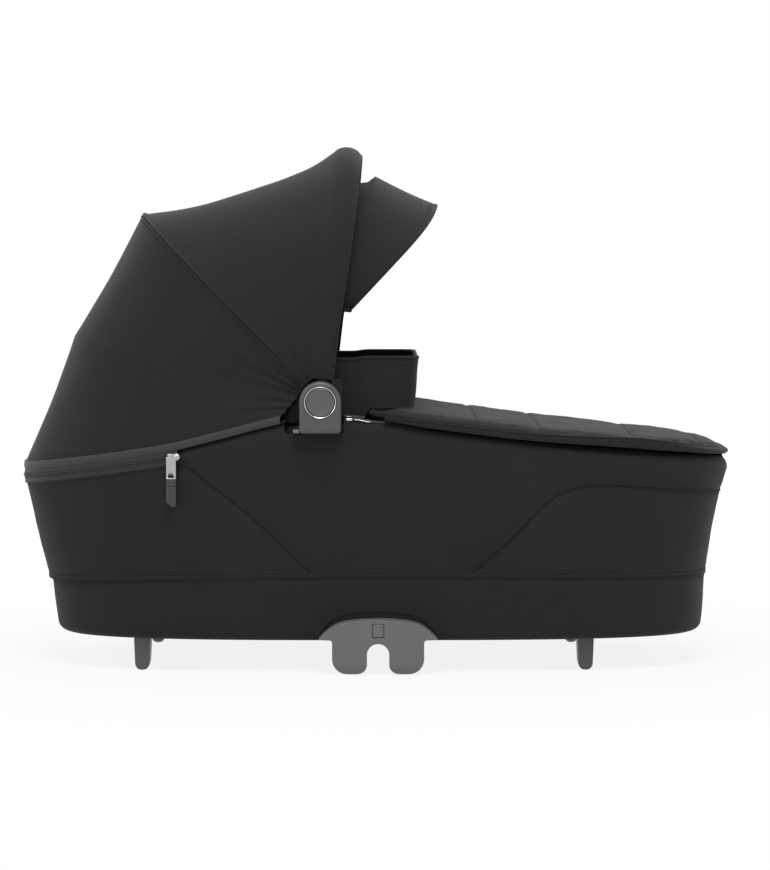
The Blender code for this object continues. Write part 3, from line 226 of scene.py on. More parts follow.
def archPoint(angle, radius, halfWidth, power, turn, centre):
    r = radius * abs(math.sin(turn)) ** (2 / power)
    y = math.copysign(halfWidth * abs(math.cos(turn)) ** (2 / power), math.cos(turn))
    a = math.radians(angle)
    return Vector((centre[0] + r * math.cos(a), y, centre[1] + r * math.sin(a)))


def linear(code):  # sRGB hex to linear RGBA
    channels = [int(code[k:k + 2], 16) / 255 for k in (1, 3, 5)]
    return tuple(c / 12.92 if c <= 0.04045 else ((c + 0.055) / 1.055) ** 2.4 for c in channels) + (1,)


def addNode(tree, kind, settings=None, links=None):
    node = tree.nodes.new(kind)
    for name, value in (settings or {}).items():
        if isinstance(name, str) and hasattr(node, name):
            setattr(node, name, value)
        else:
            node.inputs[name].default_value = value
    for name, source in (links or {}).items():
        tree.links.new(source, node.inputs[name])
    return node


def startMaterial(name):
    material = bpy.data.materials.new(name)
    material.use_nodes = True
    tree = material.node_tree
    tree.nodes.clear()
    shader = addNode(tree, "ShaderNodeBsdfPrincipled")
    addNode(tree, "ShaderNodeOutputMaterial", links={"Surface": shader.outputs[0]})
    return material, tree, shader


def mathNode(tree, operation, *terms):  # each term is a number or another node's output
    settings, links = {"operation": operation}, {}
    for k, term in enumerate(terms):
        (settings if isinstance(term, (int, float)) else links)[k] = term
    return addNode(tree, "ShaderNodeMath", settings, links).outputs[0]


def noiseNode(tree, place, scale, detail, **more):
    settings = {"Scale": scale, "Detail": detail, **more}
    return addNode(tree, "ShaderNodeTexNoise", settings, {"Vector": place}).outputs[0]


def rangeNode(tree, source, taken, given, style="LINEAR"):  # maps one range onto another
    settings = {"interpolation_type": style, "From Min": taken[0], "From Max": taken[1],
                "To Min": given[0], "To Max": given[1]}
    return addNode(tree, "ShaderNodeMapRange", settings, {"Value": source}).outputs[0]


def darkToPale(tree, look, share):
    settings = {"data_type": "RGBA", 6: linear(look["dark"]), 7: linear(look["pale"])}
    return addNode(tree, "ShaderNodeMix", settings, {0: share}).outputs[2]


def objectPlace(tree):
    return addNode(tree, "ShaderNodeTexCoord").outputs["Object"]


def clothPlace(tree):
    return addNode(tree, "ShaderNodeUVMap").outputs[0]


def bandScale(pitch):  # the wave texture's bands come out one pitch wide
    return 0.16 / pitch


def dressShader(tree, shader, values, colour, relief, rough=None):  # relief is height, strength and depth
    height, strength, depth = relief
    bump = addNode(tree, "ShaderNodeBump", {"Strength": strength, "Distance": depth}, {"Height": height})
    for name, value in values.items():
        shader.inputs[name].default_value = value
    tree.links.new(colour, shader.inputs["Base Color"])
    tree.links.new(bump.outputs[0], shader.inputs["Normal"])
    if rough is not None:
        tree.links.new(rough, shader.inputs["Roughness"])


def wovenPolyester(name, look):
    # solution-dyed polyester yarn, plain woven: a matt melange of dark and paler threads with a soft
    # bloom at grazing angles; the real threads are 0.45 mm apart, drawn 1.5 mm apart so that they show
    material, tree, shader = startMaterial(name)
    uv = clothPlace(tree)
    parts = addNode(tree, "ShaderNodeSeparateXYZ", links={0: uv})
    turns = [mathNode(tree, "MULTIPLY", parts.outputs[axis], math.tau / look["pitch"]) for axis in (0, 1)]
    weave = mathNode(tree, "MULTIPLY", *(mathNode(tree, "SINE", turn) for turn in turns))
    threads = []
    for stretch in ((0.07, 1, 1), (1, 0.07, 1)):  # streaks along the warp, then along the weft
        laid = addNode(tree, "ShaderNodeMapping", {"Scale": stretch}, {"Vector": uv}).outputs[0]
        threads.append(noiseNode(tree, laid, 0.9 / look["pitch"], 2.0, Roughness=0.6))
    both = mathNode(tree, "ADD", *threads)
    spread = rangeNode(tree, both, (0.72, 1.28), (0, 1))
    yarn = darkToPale(tree, look, spread)
    dulled = rangeNode(tree, noiseNode(tree, objectPlace(tree), 9.0, 3.0), (0.3, 0.7), (0, 0.35))
    settings = {"data_type": "RGBA", 7: linear(look["worn"])}
    colour = addNode(tree, "ShaderNodeMix", settings, {0: dulled, 6: yarn})
    rough = rangeNode(tree, spread, (0, 1), (0.82, 0.95))
    relief = (mathNode(tree, "MULTIPLY_ADD", weave, 0.5, both), look["bump"], 0.0004)
    values = {"Sheen Weight": look["sheen"], "Sheen Roughness": 0.45, "Specular IOR Level": 0.3}
    dressShader(tree, shader, values, colour.outputs[2], relief, rough)
    return material


def mouldedPlastic(name, look):
    # injection moulded from a spark-eroded tool: an even satin colour with a fine leathery grain, real
    # grain 0.3 mm and drawn 1.2 mm so that it shows, and slightly polished where hands rub it
    material, tree, shader = startMaterial(name)
    place = objectPlace(tree)
    grain = addNode(tree, "ShaderNodeTexVoronoi", {"Scale": 1 / look["grain"]}, {"Vector": place})
    cloudy = noiseNode(tree, place, 30.0, 4.0)
    rough = rangeNode(tree, cloudy, (0.3, 0.7), (look["rough"] - 0.06, look["rough"] + 0.06))
    relief = (grain.outputs[0], look["bump"], 0.0002)
    dressShader(tree, shader, {"IOR": look["ior"]}, darkToPale(tree, look, cloudy), relief, rough)
    return material


def brightMetal(name, look):
    # metal with fine scratches from handling, 0.1 mm real and drawn 0.8 mm apart so that they show
    material, tree, shader = startMaterial(name)
    place = objectPlace(tree)
    laid = addNode(tree, "ShaderNodeMapping", {"Scale": look["brush"]}, {"Vector": place}).outputs[0]
    scratch = noiseNode(tree, laid, 1250.0, 2.0)
    colour = darkToPale(tree, look, noiseNode(tree, place, 60.0, 3.0))
    rough = rangeNode(tree, scratch, (0.3, 0.7), (look["rough"] * 0.8, look["rough"] * 1.3))
    dressShader(tree, shader, {"Metallic": 1.0}, colour, (scratch, look["bump"], 0.0001), rough)
    return material


def knittedJersey(name, look):
    # cotton jersey: rows of small loops, 1.1 mm real and drawn 2 mm, soft and matt
    material, tree, shader = startMaterial(name)
    uv = clothPlace(tree)
    settings = {"Scale": bandScale(look["pitch"]), "Distortion": 1.2, "Detail": 1.0}
    wales = addNode(tree, "ShaderNodeTexWave", settings, {"Vector": uv})
    loops = addNode(tree, "ShaderNodeTexVoronoi", {"Scale": 1 / look["pitch"]}, {"Vector": uv})
    height = mathNode(tree, "ADD", wales.outputs["Fac"], loops.outputs["Distance"])
    colour = darkToPale(tree, look, noiseNode(tree, objectPlace(tree), 14.0, 4.0))
    dressShader(tree, shader, {"Roughness": 0.92, "Sheen Weight": 0.25}, colour, (height, 0.35, 0.0006))
    return material


def zipTapeWeave(name, look):
    # polyester tape, woven as a herringbone: finer and smoother than the cloth; ribs 0.6 mm real and
    # drawn 1.4 mm
    material, tree, shader = startMaterial(name)
    settings = {"Scale": bandScale(look["pitch"]), "bands_direction": "DIAGONAL", "Distortion": 0.4}
    rib = addNode(tree, "ShaderNodeTexWave", settings, {"Vector": clothPlace(tree)}).outputs["Fac"]
    shade = mathNode(tree, "MULTIPLY_ADD", rib, 0.5, noiseNode(tree, objectPlace(tree), 25.0, 4.0))
    colour = darkToPale(tree, look, shade)
    dressShader(tree, shader, {"Roughness": 0.7, "Sheen Weight": 0.15}, colour, (rib, 0.3, 0.0003))
    return material


blackCloth = wovenPolyester("woven_polyester_black_melange", {
    "dark": "#161616", "pale": "#1f1f1f", "worn": "#232323", "pitch": 0.0015, "bump": 0.3, "sheen": 0.09})
seamCloth = wovenPolyester("woven_polyester_binding", {
    "dark": "#121212", "pale": "#191919", "worn": "#1d1d1d", "pitch": 0.0011, "bump": 0.25, "sheen": 0.15})
# painted shade: a darker copy of the black cloth without its bloom, used for seam grooves, the gaps at the
# hinge and notch, tucked hems and tapes, and the visor arms
paintedShadeCloth = wovenPolyester("woven_polyester_painted_shade", {
    "dark": "#080808", "pale": "#0d0d0d", "worn": "#101010", "pitch": 0.0011, "bump": 0.2, "sheen": 0.0})
thread = wovenPolyester("twisted_polyester_thread", {
    "dark": "#1e1e1e", "pale": "#2a2a2a", "worn": "#2e2e2e", "pitch": 0.0008, "bump": 0.3, "sheen": 0.2})
liningCloth = knittedJersey("knitted_cotton_jersey_grey", {
    "dark": "#a9a9ab", "pale": "#bcbcbd", "pitch": 0.002})
zipTape = zipTapeWeave("herringbone_polyester_zip_tape", {
    "dark": "#101010", "pale": "#151515", "pitch": 0.0014})
edgeTape = zipTapeWeave("herringbone_polyester_edge_binding", {
    "dark": "#232323", "pale": "#2a2a2a", "pitch": 0.0014})
zipCoil = mouldedPlastic("drawn_nylon_zip_coil", {
    "dark": "#191919", "pale": "#242424", "rough": 0.45, "grain": 0.0012, "bump": 0.1, "ior": 1.53})
greyNylon = mouldedPlastic("moulded_glass_filled_polyamide", {
    "dark": "#626263", "pale": "#6b6b6c", "rough": 0.48, "grain": 0.0012, "bump": 0.12, "ior": 1.53})
shadeNylon = mouldedPlastic("moulded_polyamide_dark_grey", {
    "dark": "#464646", "pale": "#4e4e4e", "rough": 0.42, "grain": 0.0012, "bump": 0.1, "ior": 1.53})
darkPlastic = mouldedPlastic("moulded_black_abs", {
    "dark": "#141415", "pale": "#1b1b1c", "rough": 0.55, "grain": 0.0014, "bump": 0.15, "ior": 1.53})
softStrap = mouldedPlastic("coated_polyurethane_strap", {
    "dark": "#333233", "pale": "#3d3c3d", "rough": 0.6, "grain": 0.0009, "bump": 0.2, "ior": 1.5})
chromedZinc = brightMetal("chrome_plated_zinc", {
    "dark": "#a6a6a7", "pale": "#bababb", "rough": 0.2, "bump": 0.04, "brush": (1, 1, 1)})
buttonAluminium = brightMetal("anodised_aluminium_titanium_grey", {
    "dark": "#5b5b5b", "pale": "#666666", "rough": 0.4, "bump": 0.05, "brush": (1, 0.1, 1)})
blackAluminium = brightMetal("anodised_aluminium_black", {
    "dark": "#1c1c1c", "pale": "#262626", "rough": 0.42, "bump": 0.05, "brush": (1, 0.1, 1)})
platedSteel = brightMetal("zinc_plated_steel", {
    "dark": "#8a8a8c", "pale": "#a1a1a3", "rough": 0.3, "bump": 0.08, "brush": (1, 1, 0.2)})
print("materials ready")


def boxCoords(work, layer):  # cloth coordinates in metres where a mesh has none of its own
    for face in work.faces:
        n = face.normal
        axis = max(range(3), key=lambda k: abs(n[k]))
        keep = [k for k in range(3) if k != axis]
        for loop in face.loops:
            loop[layer].uv = (loop.vert.co[keep[0]], loop.vert.co[keep[1]])


def meshPiece(name, points, faces, finish, coords=None, sharp=40):
    work = bmesh.new()
    verts = [work.verts.new(p) for p in points]
    layer = work.loops.layers.uv.new("UVMap")
    for k, face in enumerate(faces):
        made = work.faces.new([verts[v] for v in face])
        made.smooth = True
        if coords:
            for loop, place in zip(made.loops, coords[k]):
                loop[layer].uv = place
    bmesh.ops.recalc_face_normals(work, faces=work.faces)
    if not coords:
        work.normal_update()
        boxCoords(work, layer)
    mesh = bpy.data.meshes.new(name)
    work.to_mesh(mesh)
    work.free()
    if sharp:
        mesh.set_sharp_from_angle(angle=math.radians(sharp))
    made = bpy.data.objects.new(name, mesh)
    bpy.context.scene.collection.objects.link(made)
    mesh.materials.append(finish)
    return made


def settle(piece, body, slot, *nodes):  # rides on its body and stands for its CAD nodes; the slot is not used
    if body:
        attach(piece, body)
    if nodes:
        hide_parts(*nodes)
    return piece


def bake(piece):  # leaves the modifiers' result as the mesh
    graph = bpy.context.evaluated_depsgraph_get()
    done = bpy.data.meshes.new_from_object(piece.evaluated_get(graph))
    piece.modifiers.clear()
    piece.data = done
    return piece


def roundEdges(piece, width, segments=4, angle=40):
    bevel = piece.modifiers.new("softEdge", "BEVEL")
    bevel.width = width
    bevel.segments = segments
    bevel.limit_method = "ANGLE"
    bevel.angle_limit = math.radians(angle)
    bevel.harden_normals = False
    return piece


def cutBy(piece, cutter):
    cut = piece.modifiers.new("cut", "BOOLEAN")
    cut.object = cutter
    cut.operation = "DIFFERENCE"
    cut.solver = "EXACT"
    cut.material_mode = "TRANSFER"
    bake(piece)
    bpy.data.objects.remove(cutter)
    return piece


def evenShading(piece, angle=38):  # keeps broad flat faces flat in the shading, beside their rounded edges
    piece.data.set_sharp_from_angle(angle=math.radians(angle))
    weighted = piece.modifiers.new("evenShading", "WEIGHTED_NORMAL")
    weighted.keep_sharp = True
    return bake(piece)


def runLengths(points):
    total = [0.0]
    for a, b in zip(points, points[1:]):
        total.append(total[-1] + (b - a).length)
    return total


def gridParts(grid, offset=0, wrapRows=False, wrapColumns=False):  # faces and cloth coordinates of a grid
    rows, columns = len(grid), len(grid[0])
    middle = grid[rows // 2]
    across = runLengths(middle + [middle[0]])
    down = runLengths([row[columns // 2] for row in grid] + [grid[0][columns // 2]])
    faces, coords = [], []
    for r in range(rows if wrapRows else rows - 1):
        for c in range(columns if wrapColumns else columns - 1):
            below, beside = (r + 1) % rows, (c + 1) % columns
            faces.append(tuple(offset + v for v in (r * columns + c, r * columns + beside,
                                                    below * columns + beside, below * columns + c)))
            coords.append(((across[c], down[r]), (across[c + 1], down[r]),
                           (across[c + 1], down[r + 1]), (across[c], down[r + 1])))
    return faces, coords


def loftPiece(name, rings, finish, sharp=40, wrapRun=False, caps=True):  # joins rings of points
    faces, coords = gridParts(rings, wrapRows=wrapRun, wrapColumns=True)
    points = [p for ring in rings for p in ring]
    if caps and not wrapRun:
        count = len(rings[0])
        last = (len(rings) - 1) * count
        for face in (tuple(range(count)), tuple(last + k for k in range(count))):
            faces.append(face)
            coords.append([(points[v].x, points[v].y) for v in face])
    return meshPiece(name, points, faces, finish, coords, sharp)


def gridNormals(grid, centre):
    rows, columns = len(grid), len(grid[0])
    normals = []
    for r in range(rows):
        row = []
        for c in range(columns):
            down = grid[min(r + 1, rows - 1)][c] - grid[max(r - 1, 0)][c]
            along = grid[r][min(c + 1, columns - 1)] - grid[r][max(c - 1, 0)]
            n = down.cross(along).normalized()
            row.append(-n if n.dot(grid[r][c] - centre) < 0 else n)
        normals.append(row)
    return normals


def borderFaces(rows, columns):  # the closed edge between two grids whose points follow each other
    count = rows * columns
    edge = [c for c in range(columns)] + [r * columns + columns - 1 for r in range(1, rows)]
    edge += [(rows - 1) * columns + c for c in reversed(range(columns - 1))]
    edge += [r * columns for r in reversed(range(1, rows - 1))]
    return [(v, count + v, count + after, after) for v, after in zip(edge, edge[1:] + edge[:1])]


def clothSheet(name, grid, thickness, centre, finish, sharp=50):  # a sheet with two faces and a closed edge
    rows, columns = len(grid), len(grid[0])
    normals = gridNormals(grid, centre)
    back = [[p - n * thickness for p, n in zip(*pair)] for pair in zip(grid, normals)]
    faces, coords = gridParts(grid)
    moreFaces, moreCoords = gridParts(back, offset=rows * columns)
    border = borderFaces(rows, columns)
    faces += moreFaces + border
    coords += moreCoords + [((0, 0), (thickness, 0), (thickness, 0.002), (0, 0.002))] * len(border)
    points = [p for side in (grid, back) for row in side for p in row]
    return meshPiece(name, points, faces, finish, coords, sharp)


def layFlat(grid, width=None):  # a plain strip isn't cut to shape
    width = width or max(runLengths(row)[-1] for row in grid)


def sweepPiece(name, path, outs, section, finish, closed=False, sharp=40):
    # section pairs are (along the surface, out of it), carried along a path whose outs point off the surface
    rings = []
    for k, point in enumerate(path):
        if closed:
            run = path[(k + 1) % len(path)] - path[k - 1]
        else:
            run = path[min(k + 1, len(path) - 1)] - path[max(k - 1, 0)]
        run.normalize()
        out = (outs[k] - run * outs[k].dot(run)).normalized()
        side = run.cross(out)
        rings.append([point + side * a + out * b for a, b in section])
    return loftPiece(name, rings, finish, sharp, wrapRun=closed)


def roundSection(halfWide, halfThick, count=12, lift=0):
    return [(halfWide * math.cos(math.tau * n / count), lift + halfThick * math.sin(math.tau * n / count))
            for n in range(count)]


stitch = {"sides": 6, "start": 0.15, "length": 0.7, "ahead": 0.0005,
          "rings": [(0, 0.25, -0.8), (0.18, 0.85, 0), (0.5, 1, 0.2), (0.82, 0.85, 0), (1, 0.25, -0.8)]}


def stitchRow(name, path, outs, pitch, radius, finish):  # small raised stitches sunk at both ends
    lengths = runLengths(path)
    points, faces = [], []
    places, ups = numpy.array(path), numpy.array(outs)
    sides = stitch["sides"]
    for n in range(int(lengths[-1] / pitch)):
        base = len(points)
        for share, size, sink in stitch["rings"]:
            at = (n + stitch["start"] + stitch["length"] * share) * pitch
            here, ahead, up = (Vector([float(numpy.interp(where, lengths, table[:, k])) for k in range(3)])
                               for where, table in ((at, places), (at + stitch["ahead"], places), (at, ups)))
            up.normalize()
            side = (ahead - here).normalized().cross(up).normalized()
            points += [here + up * (radius * sink) + (side * math.cos(a) + up * math.sin(a)) * radius * size
                       for a in (math.tau * k / sides for k in range(sides))]
        for low in range(base, base + (len(stitch["rings"]) - 1) * sides, sides):
            faces += [(low + c, low + (c + 1) % sides, low + sides + (c + 1) % sides, low + sides + c)
                      for c in range(sides)]
    return meshPiece(name, points, faces, finish, sharp=0)


def addTrim(name, path, outs, section, finish, body="cot", slot="black_fabric", closed=False):
    return settle(sweepPiece(name, path, outs, section, finish, closed), body, slot)


def addStitches(name, path, outs, pitch, radius, body="cot", slot="black_fabric", finish=thread):
    return settle(stitchRow(name, path, outs, pitch, radius, finish), body, slot)


def turnedPiece(name, profile, centre, direction, finish, count=96, bored=False, sharp=35):
    axis = Vector(direction).normalized()
    seed = Vector((0, 0, 1)) if abs(axis.z) < 0.9 else Vector((1, 0, 0))
    first = (seed - axis * seed.dot(axis)).normalized()
    second = axis.cross(first)
    middle = Vector(centre)
    turns = [math.tau * n / count for n in range(count)]
    rings = [[middle + axis * d + (first * math.cos(t) + second * math.sin(t)) * r for t in turns]
             for r, d in profile]
    return loftPiece(name, rings, finish, sharp, wrapRun=bored, caps=not bored)


def bore(piece, radius, start, end, centre, direction, count):  # a round hole between two depths
    hole = [(radius, start), (radius, end)]
    cutBy(piece, turnedPiece("boreCutter", hole, centre, direction, darkPlastic, count))


def prismPiece(name, outline, start, end, place, finish, sharp=40):
    rings = [[place(a, b, depth) for a, b in outline] for depth in (start, end)]
    return loftPiece(name, rings, finish, sharp)


def sidePlace(side, centreX):
    return lambda a, b, depth: Vector((centreX + a, side * depth, b))


def boxPiece(name, centre, run, up, sizes, finish, edge, segments=3):
    along, rise = Vector(run).normalized(), Vector(up).normalized()
    out = along.cross(rise)
    length, height, thickness = (s / 2 for s in sizes)
    corners = [(-1, -1), (1, -1), (1, 1), (-1, 1)]
    rings = [[Vector(centre) + out * thickness * e + along * length * a + rise * height * b
              for a, b in corners]
             for e in (-1, 1)]
    piece = loftPiece(name, rings, finish)
    roundEdges(piece, edge, segments)
    return bake(piece)


rimTurns = rimStations(0, math.tau, tub["columns"], closed=True)
rimOuts = [rimOut(t) for t in rimTurns]
upward = Vector((0, 0, 1))


# the panel seams, read off the photograph as (x, z) on the tub's side
seams = {
    "head": [(-0.2318, 0.2467), (-0.2201, 0.2444), (-0.2084, 0.2350), (-0.1710, 0.2058),
             (-0.1265, 0.1683), (-0.0751, 0.1185)],
    "foot": [(0.1060, 0.1155), (0.1530, 0.1555), (0.1834, 0.1847), (0.2079, 0.2069), (0.2383, 0.2198),
             (0.2734, 0.2221), (0.3205, 0.2185), (0.3700, 0.2130), (0.4080, 0.2085), (0.4270, 0.2060)],
    "weltHalf": 0.0015,
    "weltRise": 0.0009,
    "groove": 0.0013,
    "grooveWidth": 0.006,
    "lineRise": 0.0008,
    "stitchShift": 0.0036,
    "stitchPitch": 0.0042,
    "stitchRadius": 0.00035,
    # a flat folded edge between two stitched grooves: across the main seam, out of it
    "mainSection": [(-0.0042, -0.002), (0.0042, -0.002), (0.0042, 0.0001), (0.0032, 0.0005), (0.0026, 0.0004),
                    (0.0022, -0.0009), (0.0018, 0.0005), (0, 0.0007), (-0.0018, 0.0005), (-0.0022, -0.0009),
                    (-0.0026, 0.0004), (-0.0032, 0.0005), (-0.0042, 0.0001)],
    "mainLines": (0.0023, -0.0023),
    "mainStitches": (0.0085, -0.0075),
}


def seamPath(points, side, count, across=False):  # turns and heights; across runs on round the foot
    places = []
    for x, z in points:
        low, high = wallLevels(planTurn(x, tub["rim"]))
        sizes = [mix(a, b, clamp((z - low) / (high - low))) for a, b in zip(tub["seam"], tub["rim"])]
        places.append((side * planTurn(x, sizes), z))
    if across:
        places += [(0, places[-1][1] - 0.001)] + [(-t, z) for t, z in reversed(places)]
    values = evenStations(lambda v: tubSkin(*splinePoint(places, v)), 0, 1, count, fine=600)
    return [tuple(splinePoint(places, v)) for v in values]


seamLines = {
    "headSeamRight": seamPath(seams["head"], -1, 90),
    "headSeamLeft": seamPath(seams["head"], 1, 90),
    "footSeam": seamPath(seams["foot"], -1, 300, across=True),
}
seamSkins = {name: ([tubSkin(t, z) for t, z in line], [tubNormal(t, z) for t, z in line])
             for name, line in seamLines.items()}
grooveRow = numpy.array([p for points, outs in seamSkins.values() for p in points])


def seamDents(points):  # how far each point of the cover is drawn in by the nearest seam
    places = numpy.array(points)
    dents = numpy.zeros(len(places))
    blockSize = 4000
    for start in range(0, len(places), blockSize):
        block = places[start:start + blockSize]
        nearest = numpy.sqrt(((block[:, None, :] - grooveRow[None, :, :]) ** 2).sum(axis=2)).min(axis=1)
        dents[start:start + blockSize] = numpy.exp(-(nearest / seams["grooveWidth"]) ** 2)
    return dents


def ripple(point, size, height):  # slow unevenness of hand-sewn padding
    return noise.noise(point / size) * height


wallPad = {  # rows up the wall and over the roll, and the padding's waves by size and height
    "wallRows": 36, "rollRows": 12,
    "wallWaves": ((0.055, 0.0012), (0.018, 0.0004)), "rollWave": (0.03, 0.0005),
    "tubeHollow": 0.0098, "tubeSteps": 8,
    "back": ((0.97, 0.0058), (0.5, 0.0062), (0.0, 0.0062)),  # share of the wall's height, inset
}
notch = {  # the cut in the rim under the hinge: outline in x and z, depths across the cot
    "outline": [(-0.1071, 0.2835), (-0.0376, 0.2835), (-0.0376, 0.3070), (-0.1071, 0.3070)],
    "depths": (0.172, 0.216), "corner": 0.004,
}


def buildCover():
    wallRows, rollRows, radius = wallPad["wallRows"], wallPad["rollRows"], tub["rollRadius"]
    # the lining's lip and the hollow for the rim tube, as inset and drop from the rim's line
    lip = [(2 * radius + 0.0004, 0.022), (2 * radius + 0.0004, 0.029), (2 * radius + 0.0004, 0.0355),
           (2 * radius - 0.003, tub["lipDrop"]), (2 * radius - 0.0055, 0.030), (2 * radius - 0.0055, radius)]
    hollow, steps = wallPad["tubeHollow"], wallPad["tubeSteps"]
    for n in range(1, steps):
        a = math.pi * (1 - n / steps)
        lip.append((radius - hollow * math.cos(a), radius - hollow * math.sin(a)))
    rings = []
    for t, out in zip(rimTurns, rimOuts):
        ring = []
        for n in range(wallRows):
            share = n / wallRows
            point = wallPoint(t, share) + out * wallPuff(t, share)
            unevenness = sum(ripple(point, size, height) for size, height in wallPad["wallWaves"])
            ring.append(point + out * math.sin(math.pi * share) * unevenness)
        for n in range(rollRows + 1):
            a = math.pi * n / rollRows
            point = rollPoint(t, a)
            ring.append(point + rollOut(t, a) * math.sin(a) * ripple(point, *wallPad["rollWave"]))
        ring += [rimPoint(t, inset, drop) for inset, drop in lip]
        ring += [wallPoint(t, share, inset) for share, inset in wallPad["back"]]
        rings.append(ring)
    flat = [ring[n] for ring in rings for n in range(wallRows)]
    dents = seamDents(flat).reshape(len(rings), wallRows)
    for ring, out, dent in zip(rings, rimOuts, dents):
        for n in range(wallRows):
            ring[n] = ring[n] - out * float(dent[n]) * seams["groove"]
    piece = loftPiece("tubCover", rings, blackCloth, wrapRun=True)
    for side in sides.values():
        place = sidePlace(side, 0)
        cutter = prismPiece("notchCutter", notch["outline"], *notch["depths"], place, darkPlastic)
        roundEdges(cutter, notch["corner"], 3)
        cutBy(piece, bake(cutter))
    settle(piece, "cot", "black_fabric", "body_cover")


def weltSection():
    half, rise = seams["weltHalf"], seams["weltRise"]
    return [(-half - 0.0006, -0.0012), (half + 0.0006, -0.0012), (half + 0.0002, 0.0001),
            (half - 0.0001, rise * 0.75), (half - 0.0005, rise), (0.0003, rise * 0.8), (0, -0.0002),
            (-0.0003, rise * 0.5), (-half + 0.0005, rise * 0.6), (-half + 0.0001, rise * 0.4),
            (-half - 0.0002, 0.0)]


def buildSeams():
    pitch, radius = seams["stitchPitch"], seams["stitchRadius"]
    for name, (points, outs) in seamSkins.items():
        sunk = [p - n * seams["groove"] * 0.8 for p, n in zip(points, outs)]
        addTrim(name, sunk, outs, weltSection(), blackCloth)
        # a thin line of the painted-shade cloth along each groove: painted shade in the seam's groove
        shaded = [p + n * seams["lineRise"] for p, n in zip(sunk, outs)]
        addTrim(name + "Line", shaded, outs, roundSection(0.0008, 0.0004, 8), paintedShadeCloth)
        beside = []
        for k in range(len(points)):
            ahead = points[min(k + 1, len(points) - 1)] - points[max(k - 1, 0)]
            side = ahead.normalized().cross(outs[k]).normalized()
            beside.append(sunk[k] + side * seams["stitchShift"] + outs[k] * 0.0005)
        addStitches(name + "Stitches", beside, outs, pitch, radius)
    points = [wallPoint(t, 0.0) + Vector((0, 0, -0.0002)) for t in rimTurns]
    addTrim("mainSeam", points, rimOuts, seams["mainSection"], blackCloth, closed=True)
    # two thin lines of the painted-shade cloth along the main seam: painted shade in its stitched grooves
    for n, rise in enumerate(seams["mainLines"]):
        line = [p + Vector((0, 0, rise)) + out * 0.0002 for p, out in zip(points, rimOuts)]
        section = roundSection(0.0006, 0.0005, 8)
        addTrim("mainSeamLine" + str(n), line, rimOuts, section, paintedShadeCloth, closed=True)
    ups = rimOuts[::2]
    for n, rise in enumerate(seams["mainStitches"]):
        row = []
        for t, up in zip(rimTurns[::2], ups):
            row.append(tubSkin(t, seamHeightAt(rimX(t)) + rise) + up * 0.0001)
        addStitches("mainSeamStitches" + str(n), row + row[:1], ups + ups[:1], pitch, radius)


adapter = {
    "x": 0.0025, "wing": 0.0702, "wingHeight": 0.0425, "top": 0.0655, "forkHalf": 0.0540, "foot": 0.0012,
    "slotHalf": 0.0131, "slotTop": 0.0373, "lobe": 0.0185, "back": 0.187, "face": 0.215,
    "arch": [(1, 0), (0.88, 0.36), (0.76, 0.64), (0.60, 0.84), (0.32, 0.965), (0, 1)],
    "sideMargin": 0.002, "topMargin": 0.008, "windowFoot": 0.030, "windowDepths": (0.181, 0.216),
    "latchHeight": 0.0527, "latch": (0.0134, 0.0156, 0.0075), "latchHole": (0.0142, 0.0164, 0.0150),
    "screwReach": 0.035, "screwHeight": 0.06, "screw": (0.0024, 0.18, 0.1985),  # radius, its two ends
    "lobeTop": 0.0150, "lobeLevels": (0.003, 0.005, 0.0075, 0.010, 0.0125, 0.0150), "lobeSpan": 0.0140,
    "lobePull": 0.0060,
}
feet = {  # places along the cot, and the slit in the band that each goes through
    "head": -0.278, "end": 0.2495, "top": 0.0427, "slitDepths": (0.118, 0.1562),
    "slit": [(-0.0112, 0.030), (0.0112, 0.030), (0.0112, 0.0434), (-0.0112, 0.0434)],
    "tip": (0.0002, 0.0086, 0.0088), "sides": [(0.0090, 0.020), (0.0095, 0.032)], "rootHalf": 0.0099,
    "depths": (0.119, 0.1197, 0.1210, 0.1230, 0.1255, 0.1285, 0.1320, 0.1360, 0.155),
    "toeRise": 0.0115, "toeEnd": 0.136, "toeLength": 0.0172,
    "screw": (0.0024, -0.044, -0.028), "screwDepth": 0.137,  # radius and its two ends, place across the cot
}


def archOver(halfSpan, low, top, count=24):  # from the wing's tip up to the middle
    pairs = [splinePoint(adapter["arch"], n / count) for n in range(count + 1)]
    return [(halfSpan * p[0], mix(low, top, min(p[1], 1))) for p in pairs]


def windowOutline():
    half = adapter["wing"] + adapter["sideMargin"]
    foot = adapter["wingHeight"] + 0.001
    arch = archOver(half, foot, adapter["top"] + adapter["topMargin"])
    right = [(half, adapter["windowFoot"])] + arch
    return right + [(-x, z) for x, z in reversed(right[:-1])]


